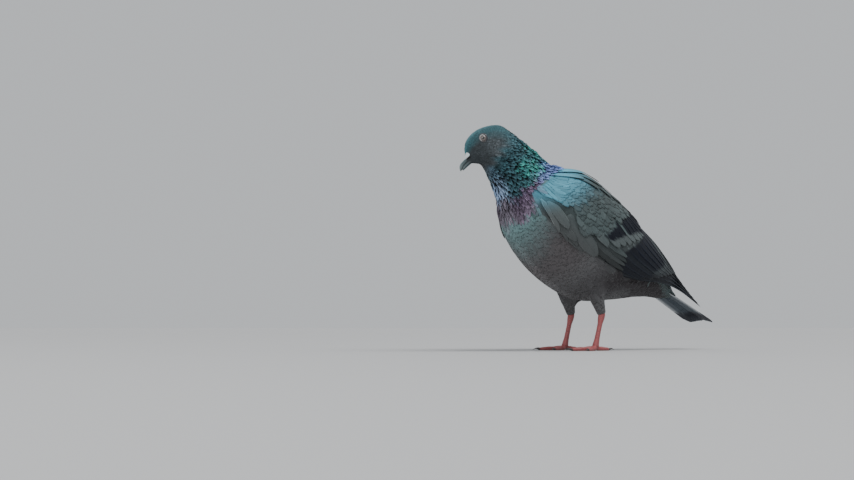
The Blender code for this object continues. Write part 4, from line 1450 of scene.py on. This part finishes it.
def make_claws(word, side, materials):
    """A bent claw at the end of each toe."""
    share = np.linspace(-0.12, 1, 24)
    out = np.clip(share, 0, 1)
    arch = 0.9 * np.sin(np.pi * out) - 0.45 * share
    colour = mix(CLAW_ROOT, CLAW_TIP, ease(share, 0.5, 1.0)[:, None])
    for toe, degrees, length in TOES:
        radius, lift = np.array(TOE_RADII[-1:]), np.array(TOE_LIFTS[-1:])
        reach = CLAW_GAP + CLAW_LENGTH * (0.8 if toe == "hind" else 1.0) * share
        line = toe_points(degrees, length, side, np.ones(1), radius, lift)
        line = line + (np.outer(reach, toe_heading(degrees, side)) + np.outer(arch, UP)) * MM
        rings = sweep(line, CLAW_RADIUS * MM * (1 - 0.86 * out), 18)
        lofted(f"talon_{word}_{toe}", rings, materials["horn"], "horn", colour, f"claw_{word}_{toe}")


# ---- The bird

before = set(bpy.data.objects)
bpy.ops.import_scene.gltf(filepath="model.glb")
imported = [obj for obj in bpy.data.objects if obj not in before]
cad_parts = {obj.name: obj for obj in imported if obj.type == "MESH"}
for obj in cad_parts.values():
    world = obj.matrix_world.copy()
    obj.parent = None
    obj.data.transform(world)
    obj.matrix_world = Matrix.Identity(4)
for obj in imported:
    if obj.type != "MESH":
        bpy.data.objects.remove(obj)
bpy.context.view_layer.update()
BARE_TREE = bare_tree()
skin = make_skin()
ground = Ground(skin.data)
roots = Roots(ground)
feather = {
    "head": plumage("head_feather", 0.7, 0.04, 0.3, sheen_weight=0.1),
    "neck": plumage("neck_feather", 0.4, 0.06, 0.3, metallic=0.3),
    "body": plumage("body_feather", 0.75, 0.05, 0.2, 0.08, sheen_weight=0.1),
    "wing": plumage("wing_feather", 0.65, 0.05, 0.3, 0.04, sheen_weight=0.05),
}
for kind, material in feather.items():
    small_feathers(ground, kind, roots.only(kind)).build("coat_" + kind, material, kind + "_plumage")
quill = plumage("flight_feather", 0.5, 0.06, 0.25, shaft=-0.5, relief=0.35, barbs=150)
covert = plumage("covert_feather", 0.6, 0.05, 0.25, shaft=0.15, relief=0.3, barbs=110)
for word, side in SIDES:
    flight, coverts = wing_feathers(side)
    flight.build("flight_" + word, quill, "flight_plumage", "primaries_" + word)
    coverts.build("coverts_" + word, covert, "wing_plumage")
tail_feathers().build("tail_feathers", quill, "flight_plumage", "tail")
materials = {
    "eye": bare_material("eye_surface", 0.12, 3000, 0.0, 0.1, coat_weight=1.0),
    "lid": bare_material("eyelid", 0.6, 2600, 0.12, subsurface_weight=0.2),
    "horn": bare_material("horn_surface", 0.38, 1400, 0.05, coat_weight=0.1),
    "dark": bare_material("nostril", 0.8, 1400, 0.0),
    "cere": bare_material("cere_surface", 0.75, 2200, 0.14, 0.15, subsurface_weight=0.15),
    "leg": bare_material("leg_surface", 0.5, 2400, 0.10, 0.35, coat_weight=0.08, subsurface_weight=0.15),
}
make_bill(materials)
for word, side in SIDES:
    make_eye(word, side, materials)
    make_foot(word, side, materials)
    make_claws(word, side, materials)

SKIN_SHADE = 0.8  # of the feathers' colour
paint(skin.data, "plumage", colour_of(ground.points)[0] * SKIN_SHADE)
paint(skin.data, "vane", np.zeros((len(ground.points), 3)))
along, angle, _ = in_spine(ground.points)
mapped(skin.data, "OFBake", unwrap(along, angle))
skin.data.materials.clear()
dressed(skin, plumage("skin", 0.8, 0.0, 0.4), "body_plumage", *FLESH)


# ---- Camera, floor and lights

def aimed(obj, place, direction):
    """Puts a camera or lamp in the scene, looking along a direction."""
    obj.location = place
    obj.rotation_euler = direction.to_track_quat("-Z", "Y").to_euler()
    bpy.context.scene.collection.objects.link(obj)


def lamp(name, kind, place, power, **shape):
    data = bpy.data.lights.new(name, kind)
    data.energy = power
    for key, value in shape.items():
        setattr(data, key, value)
    aimed(bpy.data.objects.new(name, data), place, Vector((0.03, 0, 0.1)) - Vector(place))


camera_data = bpy.data.cameras.new("camera")
camera_data.lens, camera_data.sensor_width = 53, 36
camera = bpy.data.objects.new("camera", camera_data)
aimed(camera, (0.7200, 0.8615, 0.0200), Vector((-0.5336, -0.8429, 0.0694)))
bpy.context.scene.camera = camera
lamp("sky", "SUN", (-0.5, 0.9, 2.2), 2.4, angle=math.radians(45))
lamp("fill", "AREA", (1.6, 1.0, 0.9), 8, shape="DISK", size=1.2)
world = bpy.data.worlds.new("studio")
world.use_nodes = True
world.node_tree.nodes["Background"].inputs["Color"].default_value = (0.58, 0.60, 0.62, 1)
world.node_tree.nodes["Background"].inputs["Strength"].default_value = 1.0
bpy.context.scene.world = world

sheet = bmesh.new()
bmesh.ops.create_grid(sheet, x_segments=1, y_segments=1, size=60)
floor = mesh_object("floor", mesh_from("floor", sheet))
floor.data.materials.append(Graph("floor", 0.9, 0.2, base_color=(0.472, 0.474, 0.477, 1)).material)
